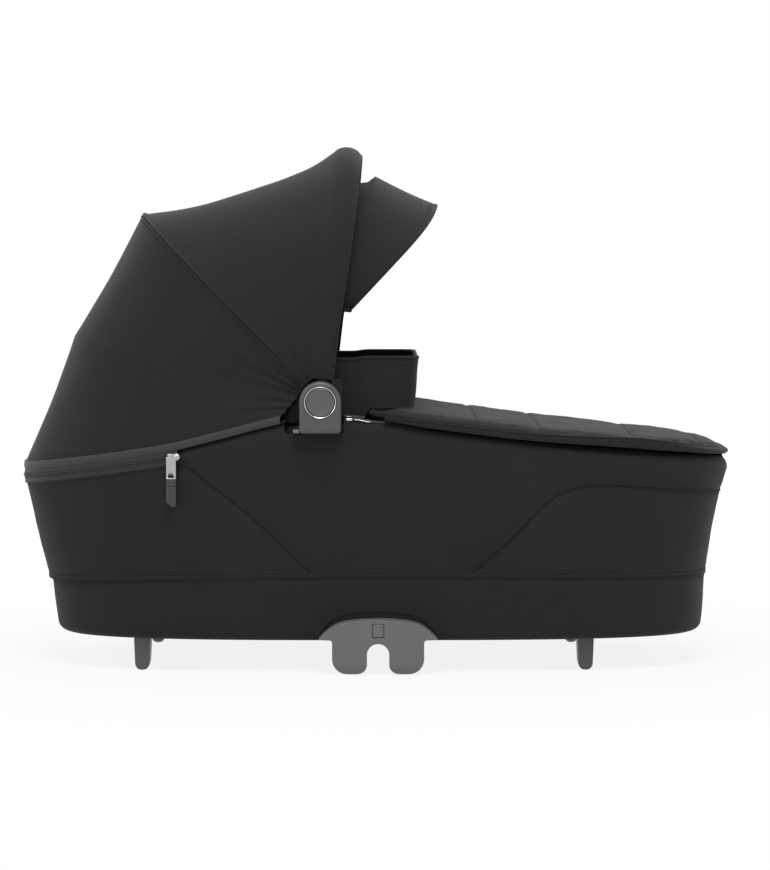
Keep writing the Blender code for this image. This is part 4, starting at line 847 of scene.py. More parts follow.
def buildBand():
    base, corner, rows = tub["baseHeight"], 0.010, 22
    # the hem turned in under the tray, as height over the base and inset
    hem = [(0, 0.019), (0.0003, 0.0262), (0.0014, 0.0270), (0.0042, 0.0262), (0.0046, 0.012), (0.012, 0.0048)]
    rings = []
    for t, out in zip(rimTurns, rimOuts):
        seam = seamHeightAt(rimX(t))
        ring = []
        for n in range(rows + 1):
            point = bandLevel(t, mix(seam - 0.0004, base + corner, n / rows))
            puff = math.sin(math.pi * n / rows) * (ripple(point, 0.06, 0.0009) + 0.0004)
            ring.append(point + out * (puff - 0.0006 * math.exp(-n * 0.8)))
        for n in range(1, 9):
            a = math.pi / 2 * n / 8
            ring.append(bandLevel(t, base + corner * (1 - math.sin(a)), corner * (1 - math.cos(a))))
        ring += [bandLevel(t, base + rise, inset) for rise, inset in hem]
        ring.append(bandLevel(t, seam - 0.0006, 0.0048))
        rings.append(ring)
    band = loftPiece("lowerBand", rings, blackCloth, wrapRun=True)
    for side in sides.values():
        place = sidePlace(side, adapter["x"])
        cutBy(band, prismPiece("windowCutter", windowOutline(), *adapter["windowDepths"], place, darkPlastic))
        for end in ("head", "end"):
            place = sidePlace(side, feet[end])
            cutBy(band, prismPiece("footCutter", feet["slit"], *feet["slitDepths"], place, darkPlastic))
    settle(band, "cot", "black_fabric", "lower_band")
    skinSizes = [mix(p, q, 0.3) for p, q in zip(tub["base"], tub["bandTop"])]
    for name, side in sides.items():  # folded tape that binds the cut-out over the adapter
        path = []
        for a, z in windowOutline()[1:-1]:
            x = adapter["x"] + a
            skin = bandLevel(planTurn(x, skinSizes), z)
            path.append(Vector((x, side * (abs(skin.y) + 0.0002), z + 0.0008)))
        outs = [Vector((0, side, 0))] * len(path)
        addTrim("windowBinding." + name, path, outs, roundSection(0.0028, 0.0013, 14), seamCloth)


print("tub")
buildCover()
buildSeams()
buildBand()


bows = {  # angle from +X upwards, radius, half width at the hinge
    "rear_bow": (166.2, 0.3040, 0.1906),
    "mid_bow": (134.7, 0.3040, 0.1956),
    "front_bow": (84.1, 0.2925, 0.2006),
}
canopy = {
    "power": 2.7,
    "stations": 160,
    "columns": 44,
    "start": 0.0268,  # where the panels begin, out from the hinge
    "thickness": 0.0013,
    "lift": 0.0040,
    "frontSag": 0.0165,
    "frontSagShape": [(0, 0), (0.25, 0.66), (0.5, 0.94), (0.7, 1), (0.87, 0.82), (0.94, 0.52), (1, 0)],
    "rearSag": 0.0026,
    "rearSagShape": [(0, 0), (0.25, 0.70), (0.5, 1), (0.75, 0.70), (1, 0)],
    "coverEnd": -0.112,  # how far along the rim the canopy's lower edge comes
    "coverAngle": 192.0,
    "blendRadius": 0.22,
    "middle": Vector((mix(hinge.x, -0.429, 0.35), 0, hinge.z)),
    # two rolled edges with a groove between, over the middle bow
    "seamSection": [(-0.0036, -0.0012), (0.0036, -0.0012), (0.0032, 0.0002), (0.0024, 0.0009),
                    (0.0012, 0.0008), (0.0004, 0.0003), (0, -0.0006), (-0.0006, 0.0006),
                    (-0.0014, 0.0014), (-0.0026, 0.0011), (-0.0033, 0.0002)],
}
folds = {"height": 0.0012, "start": 0.03, "reach": 0.075, "count": 3.2, "shift": 0.6}
rod = {"strapEnd": 0.10, "change": 0.06, "strapThick": 0.0018, "strapWide": 0.006, "half": 0.0045}
sleevePad = {  # half sizes of the padded handle sleeve, from its start out from the hinge
    "start": 0.036, "reach": 0.195, "cover": 0.0017, "wrapStart": -1.25, "wrapSpan": 2.35, "wrapColumns": 16,
    "thick": [(0, 0.0030), (0.28, 0.0034), (0.45, 0.0062), (0.75, 0.0112), (1, 0.012)],
    "wide": [(0, 0.0105), (0.28, 0.0112), (0.45, 0.0128), (0.75, 0.0158), (1, 0.0165)],
}
hingeCloth = {  # cloth beside the hinge and the notch that keeps the light out, drawn in the painted-shade cloth as painted shade for the dark gap there, as x and z
    "gusset": [(-0.1165, 0.3028), (-0.1066, 0.3028), (-0.1066, 0.2955), (-0.0885, 0.2955), (-0.0850, 0.3207)],
    "gussetSectors": ((0.0195, 165, 42), (0.0290, 42, 165)), "gussetTip": (-0.1165, 0.3150),
    "gussetDepths": (0.1927, 0.1935), "facingDepths": (0.1786, 0.1794),
    "facing": [(-0.1066, 0.2840), (-0.0860, 0.2840), (-0.0860, 0.3205), (-0.0930, 0.3190), (-0.1066, 0.3060)],
}


def bowCurve(name):
    angle, radius, half = bows[name]
    return lambda turn: archPoint(angle, radius, half, canopy["power"], turn, (hinge.x, hinge.z))


def bowAcross(name):
    a = math.radians(bows[name][0])
    return Vector((-math.sin(a), 0, math.cos(a)))


def bowRise(name):
    a = math.radians(bows[name][0])
    return Vector((math.cos(a), 0, math.sin(a)))


def bowOut(name, turn):  # square to the bow, in its plane, away from its inside
    curve = bowCurve(name)
    run = (curve(turn + 0.002) - curve(turn - 0.002)).normalized()
    out = run.cross(bowAcross(name)).normalized()
    inside = hinge + bowRise(name) * bows[name][1] * 0.4
    return -out if out.dot(curve(turn) - inside) < 0 else out


def hingeDistance(point):
    return math.hypot(point.x - hinge.x, point.z - hinge.z)


def rodHalfSizes(point):  # a flat strap at the hinge that grows into a round rod
    share = clamp((hingeDistance(point) - rod["strapEnd"]) / rod["change"])
    return mix(rod["strapThick"], rod["half"], share), mix(rod["strapWide"], rod["half"], share)


def padHalfSizes(point):
    share = (hingeDistance(point) - sleevePad["start"]) / sleevePad["reach"]
    return curveThrough(sleevePad["thick"], share), curveThrough(sleevePad["wide"], share)


def turnAtRadius(name, radius):
    curve = bowCurve(name)
    low, high = 0.0, math.pi / 2
    for step in range(50):
        middle = (low + high) / 2
        if hingeDistance(curve(middle)) < radius:
            low = middle
        else:
            high = middle
    return low


def bowTurns(name, count, start=None):
    first = turnAtRadius(name, start or canopy["start"])
    return evenStations(bowCurve(name), first, math.pi - first, count, fine=1500)


def bowEdge(name, lift, shift, count):
    edge = []
    for t in bowTurns(name, count):
        point = bowCurve(name)(t)
        thick = rodHalfSizes(point)[0]
        edge.append(point + bowOut(name, t) * (thick + lift) + bowAcross(name) * shift)
    return edge


def tensionFolds(point, share):  # fine folds that fan out from the hinge and die away
    fade = math.exp(-((hingeDistance(point) - folds["start"]) / folds["reach"]) ** 2)
    wave = math.sin(share * math.tau * folds["count"] + folds["shift"])
    return folds["height"] * fade * wave * math.sin(math.pi * share)


def stretchPanel(edgeA, edgeB, sag, shape):
    columns = canopy["columns"]
    grid = []
    for a, b in zip(edgeA, edgeB):
        row = []
        for c in range(columns):
            share = c / (columns - 1)
            point = a.lerp(b, share)
            weight = clamp(hingeDistance(point) / 0.30) ** 2
            toward = (canopy["middle"] - point).normalized()
            depth = sag * weight * curveThrough(shape, share, levelEnd=False)
            depth += tensionFolds(point, share)
            depth += ripple(point, 0.05, 0.0010) * math.sin(math.pi * share)
            row.append(point + toward * depth)
        grid.append(row)
    return grid


def sleeveRing(turn, cover, angles):  # points round the handle sleeve, a cover's thickness out from it
    point = bowCurve("front_bow")(turn)
    out, across = bowOut("front_bow", turn), bowAcross("front_bow")
    thick, wide = padHalfSizes(point)
    thick, wide = thick + cover, wide + cover
    return [point + out * thick * math.cos(a) + across * wide * math.sin(a) for a in angles]


def buildPanels(wraps):
    count, lift = canopy["stations"], canopy["lift"]
    midFront = bowEdge("mid_bow", lift, -0.0004, count)
    midBack = bowEdge("mid_bow", lift, 0.0004, count)
    rearFront = bowEdge("rear_bow", lift, 0.0, count)
    first = planTurn(canopy["coverEnd"], tub["rim"])
    turns = rimStations(first, math.tau - first, count, fine=1500)
    bindingTop = [rimPoint(t, 0.0002, -0.0050) for t in turns]
    frontGrid = stretchPanel(midFront, [row[0] for row in wraps], canopy["frontSag"], canopy["frontSagShape"])
    frontGrid = [row + more[1:] for row, more in zip(frontGrid, wraps)]  # it runs on over the handle sleeve
    midGrid = stretchPanel(rearFront, midBack, canopy["rearSag"], canopy["rearSagShape"])
    rearGrid = stretchPanel(bindingTop, rearFront, canopy["rearSag"], canopy["rearSagShape"])
    panels = []
    for name, grid in (("Front", frontGrid), ("Middle", midGrid), ("Rear", rearGrid)):
        name = "canopy" + name + "Panel"
        panels.append(clothSheet(name, grid, canopy["thickness"], canopy["middle"], blackCloth))
    front, middle, rear = panels
    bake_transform(front)
    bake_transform(middle)
    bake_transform(rear)
    for piece, node, grid in ((front, "canopy_front_panel", frontGrid), (middle, "canopy_mid_panel", midGrid),
                              (rear, "canopy_rear_panel", rearGrid)):
        settle(piece, None, "black_fabric", node)
        layFlat(grid)


def buildCanopy():
    last = sleevePad["wrapColumns"] - 1
    wrap = [sleevePad["wrapStart"] + sleevePad["wrapSpan"] * n / last for n in range(last + 1)][::-1]
    wraps = [sleeveRing(t, sleevePad["cover"], wrap) for t in bowTurns("front_bow", canopy["stations"])]
    buildPanels(wraps)
    points, outs = [], []
    for t in bowTurns("mid_bow", 170):
        point = bowCurve("mid_bow")(t)
        outs.append(bowOut("mid_bow", t))
        points.append(point + outs[-1] * (rodHalfSizes(point)[0] + canopy["lift"] - 0.0002))
    addTrim("canopySeam", points, outs, canopy["seamSection"], seamCloth, "mid_bow")
    turns = [math.tau * n / 20 for n in range(20)]
    rings = [sleeveRing(t, 0, turns) for t in bowTurns("front_bow", 130, start=0.029)]
    sleeve = loftPiece("handleSleeve", rings, blackCloth)
    settle(sleeve, "front_bow", "black_fabric", "handle_pad")
    outs = [(row[-1] - row[-3]).normalized() for row in wraps]
    section = roundSection(0.0012, 0.0018, 12, lift=-0.0005)
    addTrim("canopyFrontBinding", [row[-1] for row in wraps], outs, section, seamCloth, "front_bow")
    for name, side in sides.items():
        buildHingeCloth(name, side)


def buildHingeCloth(name, side):
    tab = boxPiece("sleeveTab." + name, (-0.0466, side * 0.2019, 0.3310), (1, 0, 0), (0.04, 0, 1),
                   (0.0122, 0.0330, 0.0022), blackCloth, 0.0009, 3)  # the sleeve's fastening tab
    corners = list(hingeCloth["gusset"])
    for radius, start, end in hingeCloth["gussetSectors"]:
        for n in range(8):
            a = math.radians(mix(start, end, n / 7))
            corners.append((hinge.x + radius * math.cos(a), hinge.z + radius * math.sin(a)))
    corners.append(hingeCloth["gussetTip"])
    place = sidePlace(side, 0)
    # the gusset and the facing are painted shade: dark sheets where only a dark gap shows
    gusset = prismPiece("hingeShadeGusset." + name, corners, *hingeCloth["gussetDepths"], place, paintedShadeCloth)
    settle(gusset, "cot", "black_fabric")
    corners, depths = hingeCloth["facing"], hingeCloth["facingDepths"]
    facing = prismPiece("notchShadeFacing." + name, corners, *depths, place, paintedShadeCloth)
    settle(facing, "cot", "black_fabric")
    settle(tab, "front_bow", "black_fabric")


print("canopy")
buildCanopy()


visor = {
    "pivot": (-0.0305, 0.4278), "radius": 0.165, "half": 0.175, "power": 2.2, "thickness": 0.0024,
    "rear": 79.5, "front": 47.0, "tip": 50.5, "start": 0.004, "columns": 22, "stations": 120,
    "armHalf": 0.0026, "armRoot": (-0.0538, 0.4302), "armDepths": (0.1758, 0.1905), "bowLean": 0.1033,
    # the link turned back to the bow: angle, drop
    "link": ((93.0, 0.0110), (85.0, 0.0100), (82.5, 0.0085), (80.5, 0.0030)),
}


def visorPoint(turn, angle, lift=0):
    radius, half = visor["radius"] + lift, visor["half"] + lift
    return archPoint(angle, radius, half, visor["power"], turn, visor["pivot"])


def buildVisor():
    low = math.asin((visor["start"] / visor["radius"]) ** (visor["power"] / 2))
    curve = lambda t: visorPoint(t, visor["rear"])
    turns = evenStations(curve, low, math.pi - low, visor["stations"], fine=1500)
    grid = []
    for t in turns:
        frontAngle = mix(visor["front"], visor["tip"], math.sin(t) ** 6)
        rear, front = visorPoint(t, visor["rear"]), visorPoint(t, frontAngle)
        height = smooth((math.sin(t) - 0.6) / 0.35)
        back = Vector((hinge.x + (rear.z - hinge.z) * visor["bowLean"], rear.y, rear.z - 0.001))
        row = []
        for n, (angle, drop) in enumerate(visor["link"]):
            row.append(back.lerp(rear, n / 4).lerp(visorPoint(t, angle, -drop), height))
        for c in range(visor["columns"]):
            share = c / (visor["columns"] - 1)
            sag = Vector((0, 0, -0.0015 * math.sin(math.pi * share) * height))
            row.append(rear.lerp(front, share) + sag)
        grid.append(row)
    inside = Vector((visor["pivot"][0], 0, visor["pivot"][1]))
    peak = clothSheet("visorPeak", grid, visor["thickness"], inside, blackCloth)
    settle(peak, "visor", "black_fabric", "visor")
    layFlat(grid)
    normals = gridNormals(grid, inside)
    outs = [(row[-1] - row[-3]).normalized() for row in grid]
    middle = [row[-1] - n[-1] * visor["thickness"] / 2 for row, n in zip(grid, normals)]
    addTrim("visorBinding", middle, outs, roundSection(0.0022, 0.0030, 14, lift=-0.0012), seamCloth, "visor")
    row = [r[-3] + n[-3] * 0.0002 for r, n in zip(grid, normals)]
    addStitches("visorStitches", row, [n[-3] for n in normals], 0.0040, 0.0004, "visor")
    half = visor["armHalf"]
    outline = []
    for (x, z), first in ((visor["pivot"], -1.5), (visor["armRoot"], -0.5)):
        ends = [math.pi * (1 + first + n / 8) for n in range(9)]
        outline += [(x + half * math.cos(a), z + half * math.sin(a)) for a in ends]
    for name, side in sides.items():
        # the arms are black, drawn in the painted-shade cloth: darker than their plastic and without its
        # highlights, as painted shade
        arm = prismPiece("visorArm." + name, outline, *visor["armDepths"], sidePlace(side, 0), paintedShadeCloth)
        roundEdges(arm, 0.0008, 3)
        settle(bake(arm), "front_bow", "black_plastic", "visor_arm_" + name)


buildVisor()


zips = {
    "bindingTop": -0.0058, "bindingLow": 0.0036, "bindingHalf": 0.0013, "bindingWidth": 0.0105,
    "tapeLow": 0.0197, "tapeEnd": -0.2328, "tapeWidth": 0.0192, "tapeThickness": 0.0010,
    "coilDrop": 0.0112, "toothPitch": 0.0022, "toothRadius": 0.0011, "stitchShift": 0.0030,
    "inside": Vector((-0.1, 0, 0.25)),
    # the inner hem that lies on the rim and closes the gap behind the binding: inset, drop
    "hemEnd": -0.1069, "hemRows": ((0.0010, 0.0028), (0.0058, 0.0006), (0.0106, -0.0008), (0.0156, -0.0013)),
    "sliderCentre": Vector((-0.2396, -0.1974, 0.2555)), "pullPivot": Vector((-0.24021, -0.20079, 0.25471)),
    "run": Vector((0.98155, -0.1912, 0)),
    "slider": (0.0105, 0.0088, 0.0038), "plate": (0.0120, 0.0266, 0.0019), "slot": (0.0076, 0.0026, 0.0060),
    "stitch": (0.0092, 0.0006, 0.0006),
    # radius and depth of the slider's crown, then the strap's outline with its slanted cut
    "crown": [(0.0001, 0.0042), (0.0022, 0.0040), (0.0038, 0.0031), (0.0047, 0.0016), (0.0049, 0.0002),
              (0.0047, -0.0012)],
    "strap": [(-0.0060, -0.0249), (-0.0060, -0.0515), (0.0004, -0.0571), (0.0050, -0.0573), (0.0060, -0.0556),
              (0.0060, -0.0249)],
}


def headTurns(endX, count=420):  # round the head end, from the left side to the right
    first = planTurn(endX, tub["rim"])
    return rimStations(first, math.tau - first, count)


def bandRound(turns, top, low, proud, rows):  # a band of cloth round the head end
    shares = [n / (rows - 1) for n in range(rows)]
    puffs = [proud + 0.0008 * math.sin(math.pi * share) for share in shares]
    return [[rimPoint(t, -puff, mix(top, low, share)) for puff, share in zip(puffs, shares)]
            for t in turns]


def buildZip():
    half, rests = zips["bindingHalf"], ["rim_tube_head"]
    grid = bandRound(headTurns(canopy["coverEnd"]), zips["bindingTop"], zips["bindingLow"], half, 9)
    binding = clothSheet("canopyBinding", grid, 2 * half, zips["inside"], edgeTape)
    settle(binding, "cot", "grey_zip_tape", "canopy_zip_binding")
    layFlat(grid, zips["bindingWidth"])
    hem = [[rimPoint(t, inset, drop) for inset, drop in zips["hemRows"]]
           for t in headTurns(zips["hemEnd"], 260)]
    # the hem behind the binding is drawn in the painted-shade cloth: painted shade for the gap there
    inner = clothSheet("canopyInnerHem", hem, 0.0008, Vector((-0.1, 0, 0)), paintedShadeCloth)
    settle(inner, "cot", "black_fabric")
    layFlat(hem, runLengths(hem[0])[-1])
    turns = headTurns(zips["tapeEnd"])
    grid = bandRound(turns, zips["bindingLow"] - 0.0025, zips["tapeLow"], 0.0006, 12)
    tape = clothSheet("headZipTape", grid, zips["tapeThickness"], zips["inside"], zipTape)
    settle(tape, "cot", "grey_zip_tape", "head_zip_tape")
    layFlat(grid, zips["tapeWidth"])
    outs = [rimOut(t) for t in turns]
    tapeSlot = "grey_zip_tape"
    coil = [rimPoint(t, -0.0016, zips["coilDrop"]) for t in turns]
    addStitches("headZipCoil", coil, outs, zips["toothPitch"], zips["toothRadius"], "cot", tapeSlot, zipCoil)
    for n, shift in enumerate((-zips["stitchShift"], zips["stitchShift"])):
        row = [rimPoint(t, -0.0016, zips["coilDrop"] + shift) for t in turns]
        addStitches("headZipStitches" + str(n), row, outs, 0.0036, 0.0003, "cot", tapeSlot)
    edge = [rimPoint(t, 0.0002, zips["tapeLow"]) for t in turns]
    addTrim("headZipPiping", edge, outs, roundSection(0.0012, 0.0013, 10), seamCloth)
    buildHeadPull()


def buildHeadPull():
    run, pivot = zips["run"], zips["pullPivot"]
    out = Vector((run.y, -run.x, 0)).normalized()
    centre = zips["sliderCentre"]
    slider = boxPiece("headSlider", centre, run, upward, zips["slider"], chromedZinc, 0.0015, 4)
    settle(slider, "cot", "bright_metal", "head_zip_slider")
    spot = centre + run * 0.0062 + upward * 0.0006 + out * 0.0012
    settle(turnedPiece("headSliderCrown", zips["crown"], spot, out, chromedZinc, 48), "cot", "bright_metal")
    pull = boxPiece("headPull", pivot - upward * 0.0118, run, upward, zips["plate"], chromedZinc, 0.0012)
    slot = boxPiece("slotCutter", pivot - upward * 0.0218, run, upward, zips["slot"], darkPlastic, 0.0011)
    cutBy(pull, slot)
    settle(pull, "head_pull", "bright_metal", "head_zip_pull")
    rings = [[pivot + run * a + upward * b + out * depth for a, b in zips["strap"]]
             for depth in (-0.0009, 0.0013)]
    strap = loftPiece("headPullStrap", rings, softStrap)
    roundEdges(strap, 0.0006, 3)
    settle(bake(strap), "head_pull", "black_fabric", "head_pull_strap")
    spot = pivot - upward * 0.0330 + out * 0.0013
    fold = boxPiece("headPullStrapStitch", spot, run, upward, zips["stitch"], thread, 0.0002, 1)
    settle(fold, "head_pull", "black_fabric")


print("zips")
buildZip()


apron = {
    "frontX": -0.012, "stepX": 0.014, "stepLength": 0.018, "frontHalf": 0.188, "overhang": 0.002,
    "edge": 0.010, "crown": 0.0085, "lift": 0.0008, "endMargin": 0.0035, "lineStart": 0.010,
    "rows": 56, "columns": 40,
    "channels": [(0.115, 0.0014), (0.190, 0.0018), (0.304, 0.0034), (0.386, 0.0018)],
    "channelHalf": 0.0036, "seamChannel": 2, "inset": 0.988,
    "voxel": 0.004, "pressure": 4.0, "cap": 0.004, "noseStart": 0.70, "noseLength": 0.22, "tapeStart": 0.004,
    # how the edge flap stands along the cot: place, its upper edge, its lower edge
    "flapLine": [(0.010, 0.0036, 0.0004), (0.060, 0.0052, -0.0016), (0.160, 0.0058, -0.0020),
                 (0.240, 0.0098, 0.0004), (0.310, 0.0136, 0.0026), (0.370, 0.0112, 0.0012),
                 (0.430, 0.0094, -0.0006)],
    "linkWidth": 0.0120, "linkTurn": 0.18, "linkAngle": 50, "linkThickness": 0.0008,
    "linkFoot": Vector((0.431, 0, 0.2476)), "linkTop": Vector((0.431, 0, 0.2516)),
}


def apronHalf(x):
    sizes = tub["rim"]
    reach = sizes[1] if x > 0 else sizes[0]
    share = max(1 - (abs(x) / reach) ** sizes[3], 0) ** (1 / sizes[3])
    full = (sizes[2] + apron["overhang"]) * share
    step = smooth((x - apron["stepX"]) / apron["stepLength"] + 0.5)
    return mix(min(apron["frontHalf"], full), full, step)


def apronTopAt(x, share):
    base = rimHeightAt(x) + apron["lift"]
    return base + apron["edge"] + (1 - abs(share) ** 4) * apron["crown"]


def swell(piece, look):  # remeshed, swelled under pressure with each point's travel capped, and smoothed
    remesh = piece.modifiers.new("remesh", "REMESH")
    remesh.mode = "VOXEL"
    remesh.voxel_size = look["voxel"]
    bake(piece)
    pressCloth(piece, look)
    sub = piece.modifiers.new("smooth", "SUBSURF")
    sub.levels = sub.render_levels = 1
    bake(piece)


def pressCloth(piece, look):
    still = [v.co.copy() for v in piece.data.vertices]
    cloth = piece.modifiers.new("cloth", "CLOTH")
    settings = cloth.settings
    settings.use_pressure = True
    settings.uniform_pressure_force = look["pressure"]
    settings.quality = 5
    settings.mass = 0.3
    settings.effector_weights.gravity = 0
    cloth.collision_settings.use_self_collision = False
    scene = bpy.context.scene
    scene.frame_start, scene.frame_end = 1, 20
    for number in range(scene.frame_start, scene.frame_end + 1):
        scene.frame_set(number)
    graph = bpy.context.evaluated_depsgraph_get()
    moved = [v.co.copy() for v in piece.evaluated_get(graph).data.vertices]
    piece.modifiers.clear()
    for vertex, before, after in zip(piece.data.vertices, still, moved):
        step = after - before
        if step.length > look["cap"]:
            step = step.normalized() * look["cap"]
        vertex.co = before + step
    scene.frame_set(1)


def clothCoords(piece):
    work = bmesh.new()
    work.from_mesh(piece.data)
    work.normal_update()
    layer = work.loops.layers.uv.get("UVMap") or work.loops.layers.uv.new("UVMap")
    boxCoords(work, layer)
    for face in work.faces:
        face.smooth = True
    work.to_mesh(piece.data)
    work.free()


def buildApron():
    endX = tub["rim"][1] - apron["endMargin"]
    rows, columns = apron["rows"], apron["columns"]
    shares = [math.sin(math.pi / 2 * (2 * c / (columns - 1) - 1)) for c in range(columns)]
    top, low = [], []
    for r in range(rows):
        x = mix(apron["frontX"], endX, (r / (rows - 1)) ** 0.85)
        half, base = apronHalf(x) * apron["inset"], rimHeightAt(x) + apron["lift"]
        fade = 1 - 0.5 * ((x - apron["frontX"]) / (endX - apron["frontX"])) ** 14
        top.append([Vector((x, s * half, base + (apronTopAt(x, s) - base) * fade - 0.0022)) for s in shares])
        low.append([Vector((x, s * half, base + 0.0012)) for s in shares])
    points = [p for grid in (top, low) for row in grid for p in row]
    faces = gridParts(top)[0] + gridParts(low, offset=rows * columns)[0] + borderFaces(rows, columns)
    pad = meshPiece("apronPad", points, faces, blackCloth)
    swell(pad, apron)
    for vertex in pad.data.vertices:  # the sewn channels and the padding's unevenness
        p = vertex.co
        base = rimHeightAt(p.x) + apron["lift"]
        share = clamp(abs(p.y) / apronHalf(clamp(p.x, apron["frontX"], endX - 0.001)))
        if p.z > base + 0.006:
            for place, depth in apron["channels"]:
                p.z -= depth * math.exp(-((p.x - place) / apron["channelHalf"]) ** 2) * (1 - share ** 8)
            p.z += ripple(p, 0.045, 0.0018) * (1 - share ** 4) + ripple(p, 0.016, 0.0007)
        p.z = max(p.z, base + 0.0004)
        p.x = min(p.x, endX + 0.002)
    clothCoords(pad)
    settle(pad, "apron", "black_fabric", "apron_cover")
    sizes = (tub["rim"][0], endX + 0.0015, tub["rim"][2] + apron["overhang"], tub["rim"][3])
    buildApronEdge(endX, sizes)
    buildApronLink(endX, sizes)
    return pad


def buildApronEdge(endX, sizes):
    first = planTurn(apron["lineStart"], sizes)
    turns = evenStations(lambda t: Vector((*planPoint(t, sizes), 0)), first, -first, 240)
    places, tops, lows = zip(*apron["flapLine"])
    rings, piping, outs = [], [], []
    for n, t in enumerate(turns):
        x, y = planPoint(t, sizes)
        base, out = Vector((x, y, rimHeightAt(min(x, endX)) + apron["lift"])), planOut(t, sizes)
        share = smooth(min(n, len(turns) - 1 - n) / 12)
        nose = smooth((math.cos(t) - apron["noseStart"]) / apron["noseLength"])
        high, low = float(numpy.interp(x, places, tops)), float(numpy.interp(x, places, lows))
        proud = mix(0.0004, 0.0032, share)
        # a folded band at the sides, a rounded lip at the foot end
        band = [(-0.0060, high - 0.0012), (-0.0030, high + 0.0002), (proud * 0.4, high),
                (proud * 0.85, high - 0.0010), (proud, high - 0.0028), (proud * 0.92, mix(low, high, 0.4)),
                (proud, low + 0.0016), (proud * 0.8, low + 0.0003), (proud * 0.3, low),
                (-0.0012, low + 0.0010), (-0.0030, mix(low, high, 0.5)),
                (-0.0125, min(high - 0.0020, 0.0012))]
        lip = [(-0.0150, high + 0.0006), (-0.0090, high), (-0.0040, high - 0.0014),
               (proud * 0.1, high - 0.0030), (proud * 0.85, high - 0.0048), (proud, mix(low, high, 0.38)),
               (proud * 0.8, low + 0.0024), (proud * 0.2, low + 0.0010), (-0.0010, low + 0.0003),
               (-0.0030, low + 0.0006), (-0.0050, mix(low, high, 0.4)), (-0.0150, high - 0.0016)]
        ring = [(mix(p[0], q[0], nose), mix(p[1], q[1], nose)) for p, q in zip(band, lip)]
        rings.append([base + out * a + upward * b for a, b in ring])
        inset, rise = mix(proud * 0.75, -0.0040, nose), high - 0.0002 - 0.0012 * nose
        piping.append(base + out * inset + upward * rise)
        outs.append(out)
    edge = loftPiece("apronEdgeFlap", rings, blackCloth)
    settle(edge, "apron", "black_fabric")
    addTrim("apronPiping", piping, outs, roundSection(0.0010, 0.0010, 10), seamCloth, "apron")


def buildApronLink(endX, sizes):  # the sewn edge the apron turns on at the foot end
    a, grid = math.radians(apron["linkAngle"]), []
    for t in rimStations(-apron["linkTurn"], apron["linkTurn"], 60):
        x, y = planPoint(t, sizes, 0.0045)
        high = Vector((x, y, rimHeightAt(min(x, endX)) + apron["lift"] + 0.0006))
        grid.append([rollPoint(t, a).lerp(high, n / 5) for n in range(6)])
    # drawn in the painted-shade cloth: painted shade where the apron meets the rim at the foot end
    link = clothSheet("apronLink", grid, apron["linkThickness"], Vector((0.35, 0, 0.24)), paintedShadeCloth)
    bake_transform(link)
    settle(link, None, "black_fabric")
    layFlat(grid, apron["linkWidth"])


def buildApronZip():  # the tape on the rim that the apron zips onto, under its edge flap: a real tape, drawn in the painted-shade cloth as painted shade for the shadow beneath the flap
    start, radius = planTurn(apron["tapeStart"], tub["rim"]), tub["rollRadius"] + 0.0007
    grid = []
    for t in rimStations(start, -start, 260):
        x = rimX(t)
        atFoot = mix(38, 50, smooth((x - 0.30) / 0.12))
        low = math.radians(mix(80, atFoot, smooth((x - apron["tapeStart"]) / 0.07)))
        middle = rimPoint(t, tub["rollRadius"], tub["rollRadius"])
        grid.append([middle + rollOut(t, mix(math.radians(92), low, n / 7)) * radius for n in range(8)])
    tape = clothSheet("apronZipTape", grid, 0.0007, Vector((0.1, 0, 0.25)), paintedShadeCloth)
    settle(tape, "cot", "black_fabric")
    layFlat(grid)


def buildChannelStitches(pad):
    bpy.context.view_layer.update()
    for n, (place, depth) in enumerate(apron["channels"]):
        half = apronHalf(place) * 0.95
        row, ups = [], []
        for k in range(120):
            spot = Vector((place, mix(-half, half, k / 119), 0.45))
            hit, spot, normal, index = pad.ray_cast(spot, -upward)
            if hit:
                row.append(spot)
                ups.append(normal)
        if n == apron["seamChannel"]:
            # a thin line of the painted-shade cloth: painted shade in the channel's seam
            addTrim("apronSeam", row, ups, roundSection(0.0008, 0.0006, 8), paintedShadeCloth, "apron")
        row = [spot + Vector((0.0024, 0, 0.0004)) for spot in row]
        addStitches("apronStitches" + str(n), row, ups, 0.0045, 0.00032, "apron")


flap = {
    "frontX": 0.0445, "wingX": -0.056, "half": 0.176, "corner": 0.025, "top": 0.374, "thickness": 0.0026,
    "lean": 0.0045, "base": 0.0012, "rows": 22, "inside": Vector((-0.05, 0, 0.33)),
}


def flapRoute():
    half, corner = flap["half"], flap["corner"]
    front = flap["frontX"] - corner
    points = [(mix(flap["wingX"], front, n / 20), half) for n in range(20)]
    for n in range(13):
        a = math.pi / 2 * (1 - n / 12)
        points.append((front + corner * math.cos(a), half - corner + corner * math.sin(a)))
    points += [(flap["frontX"], mix(half - corner, 0, n / 30)) for n in range(1, 31)]
    return points + [(x, -y) for x, y in reversed(points[:-1])]


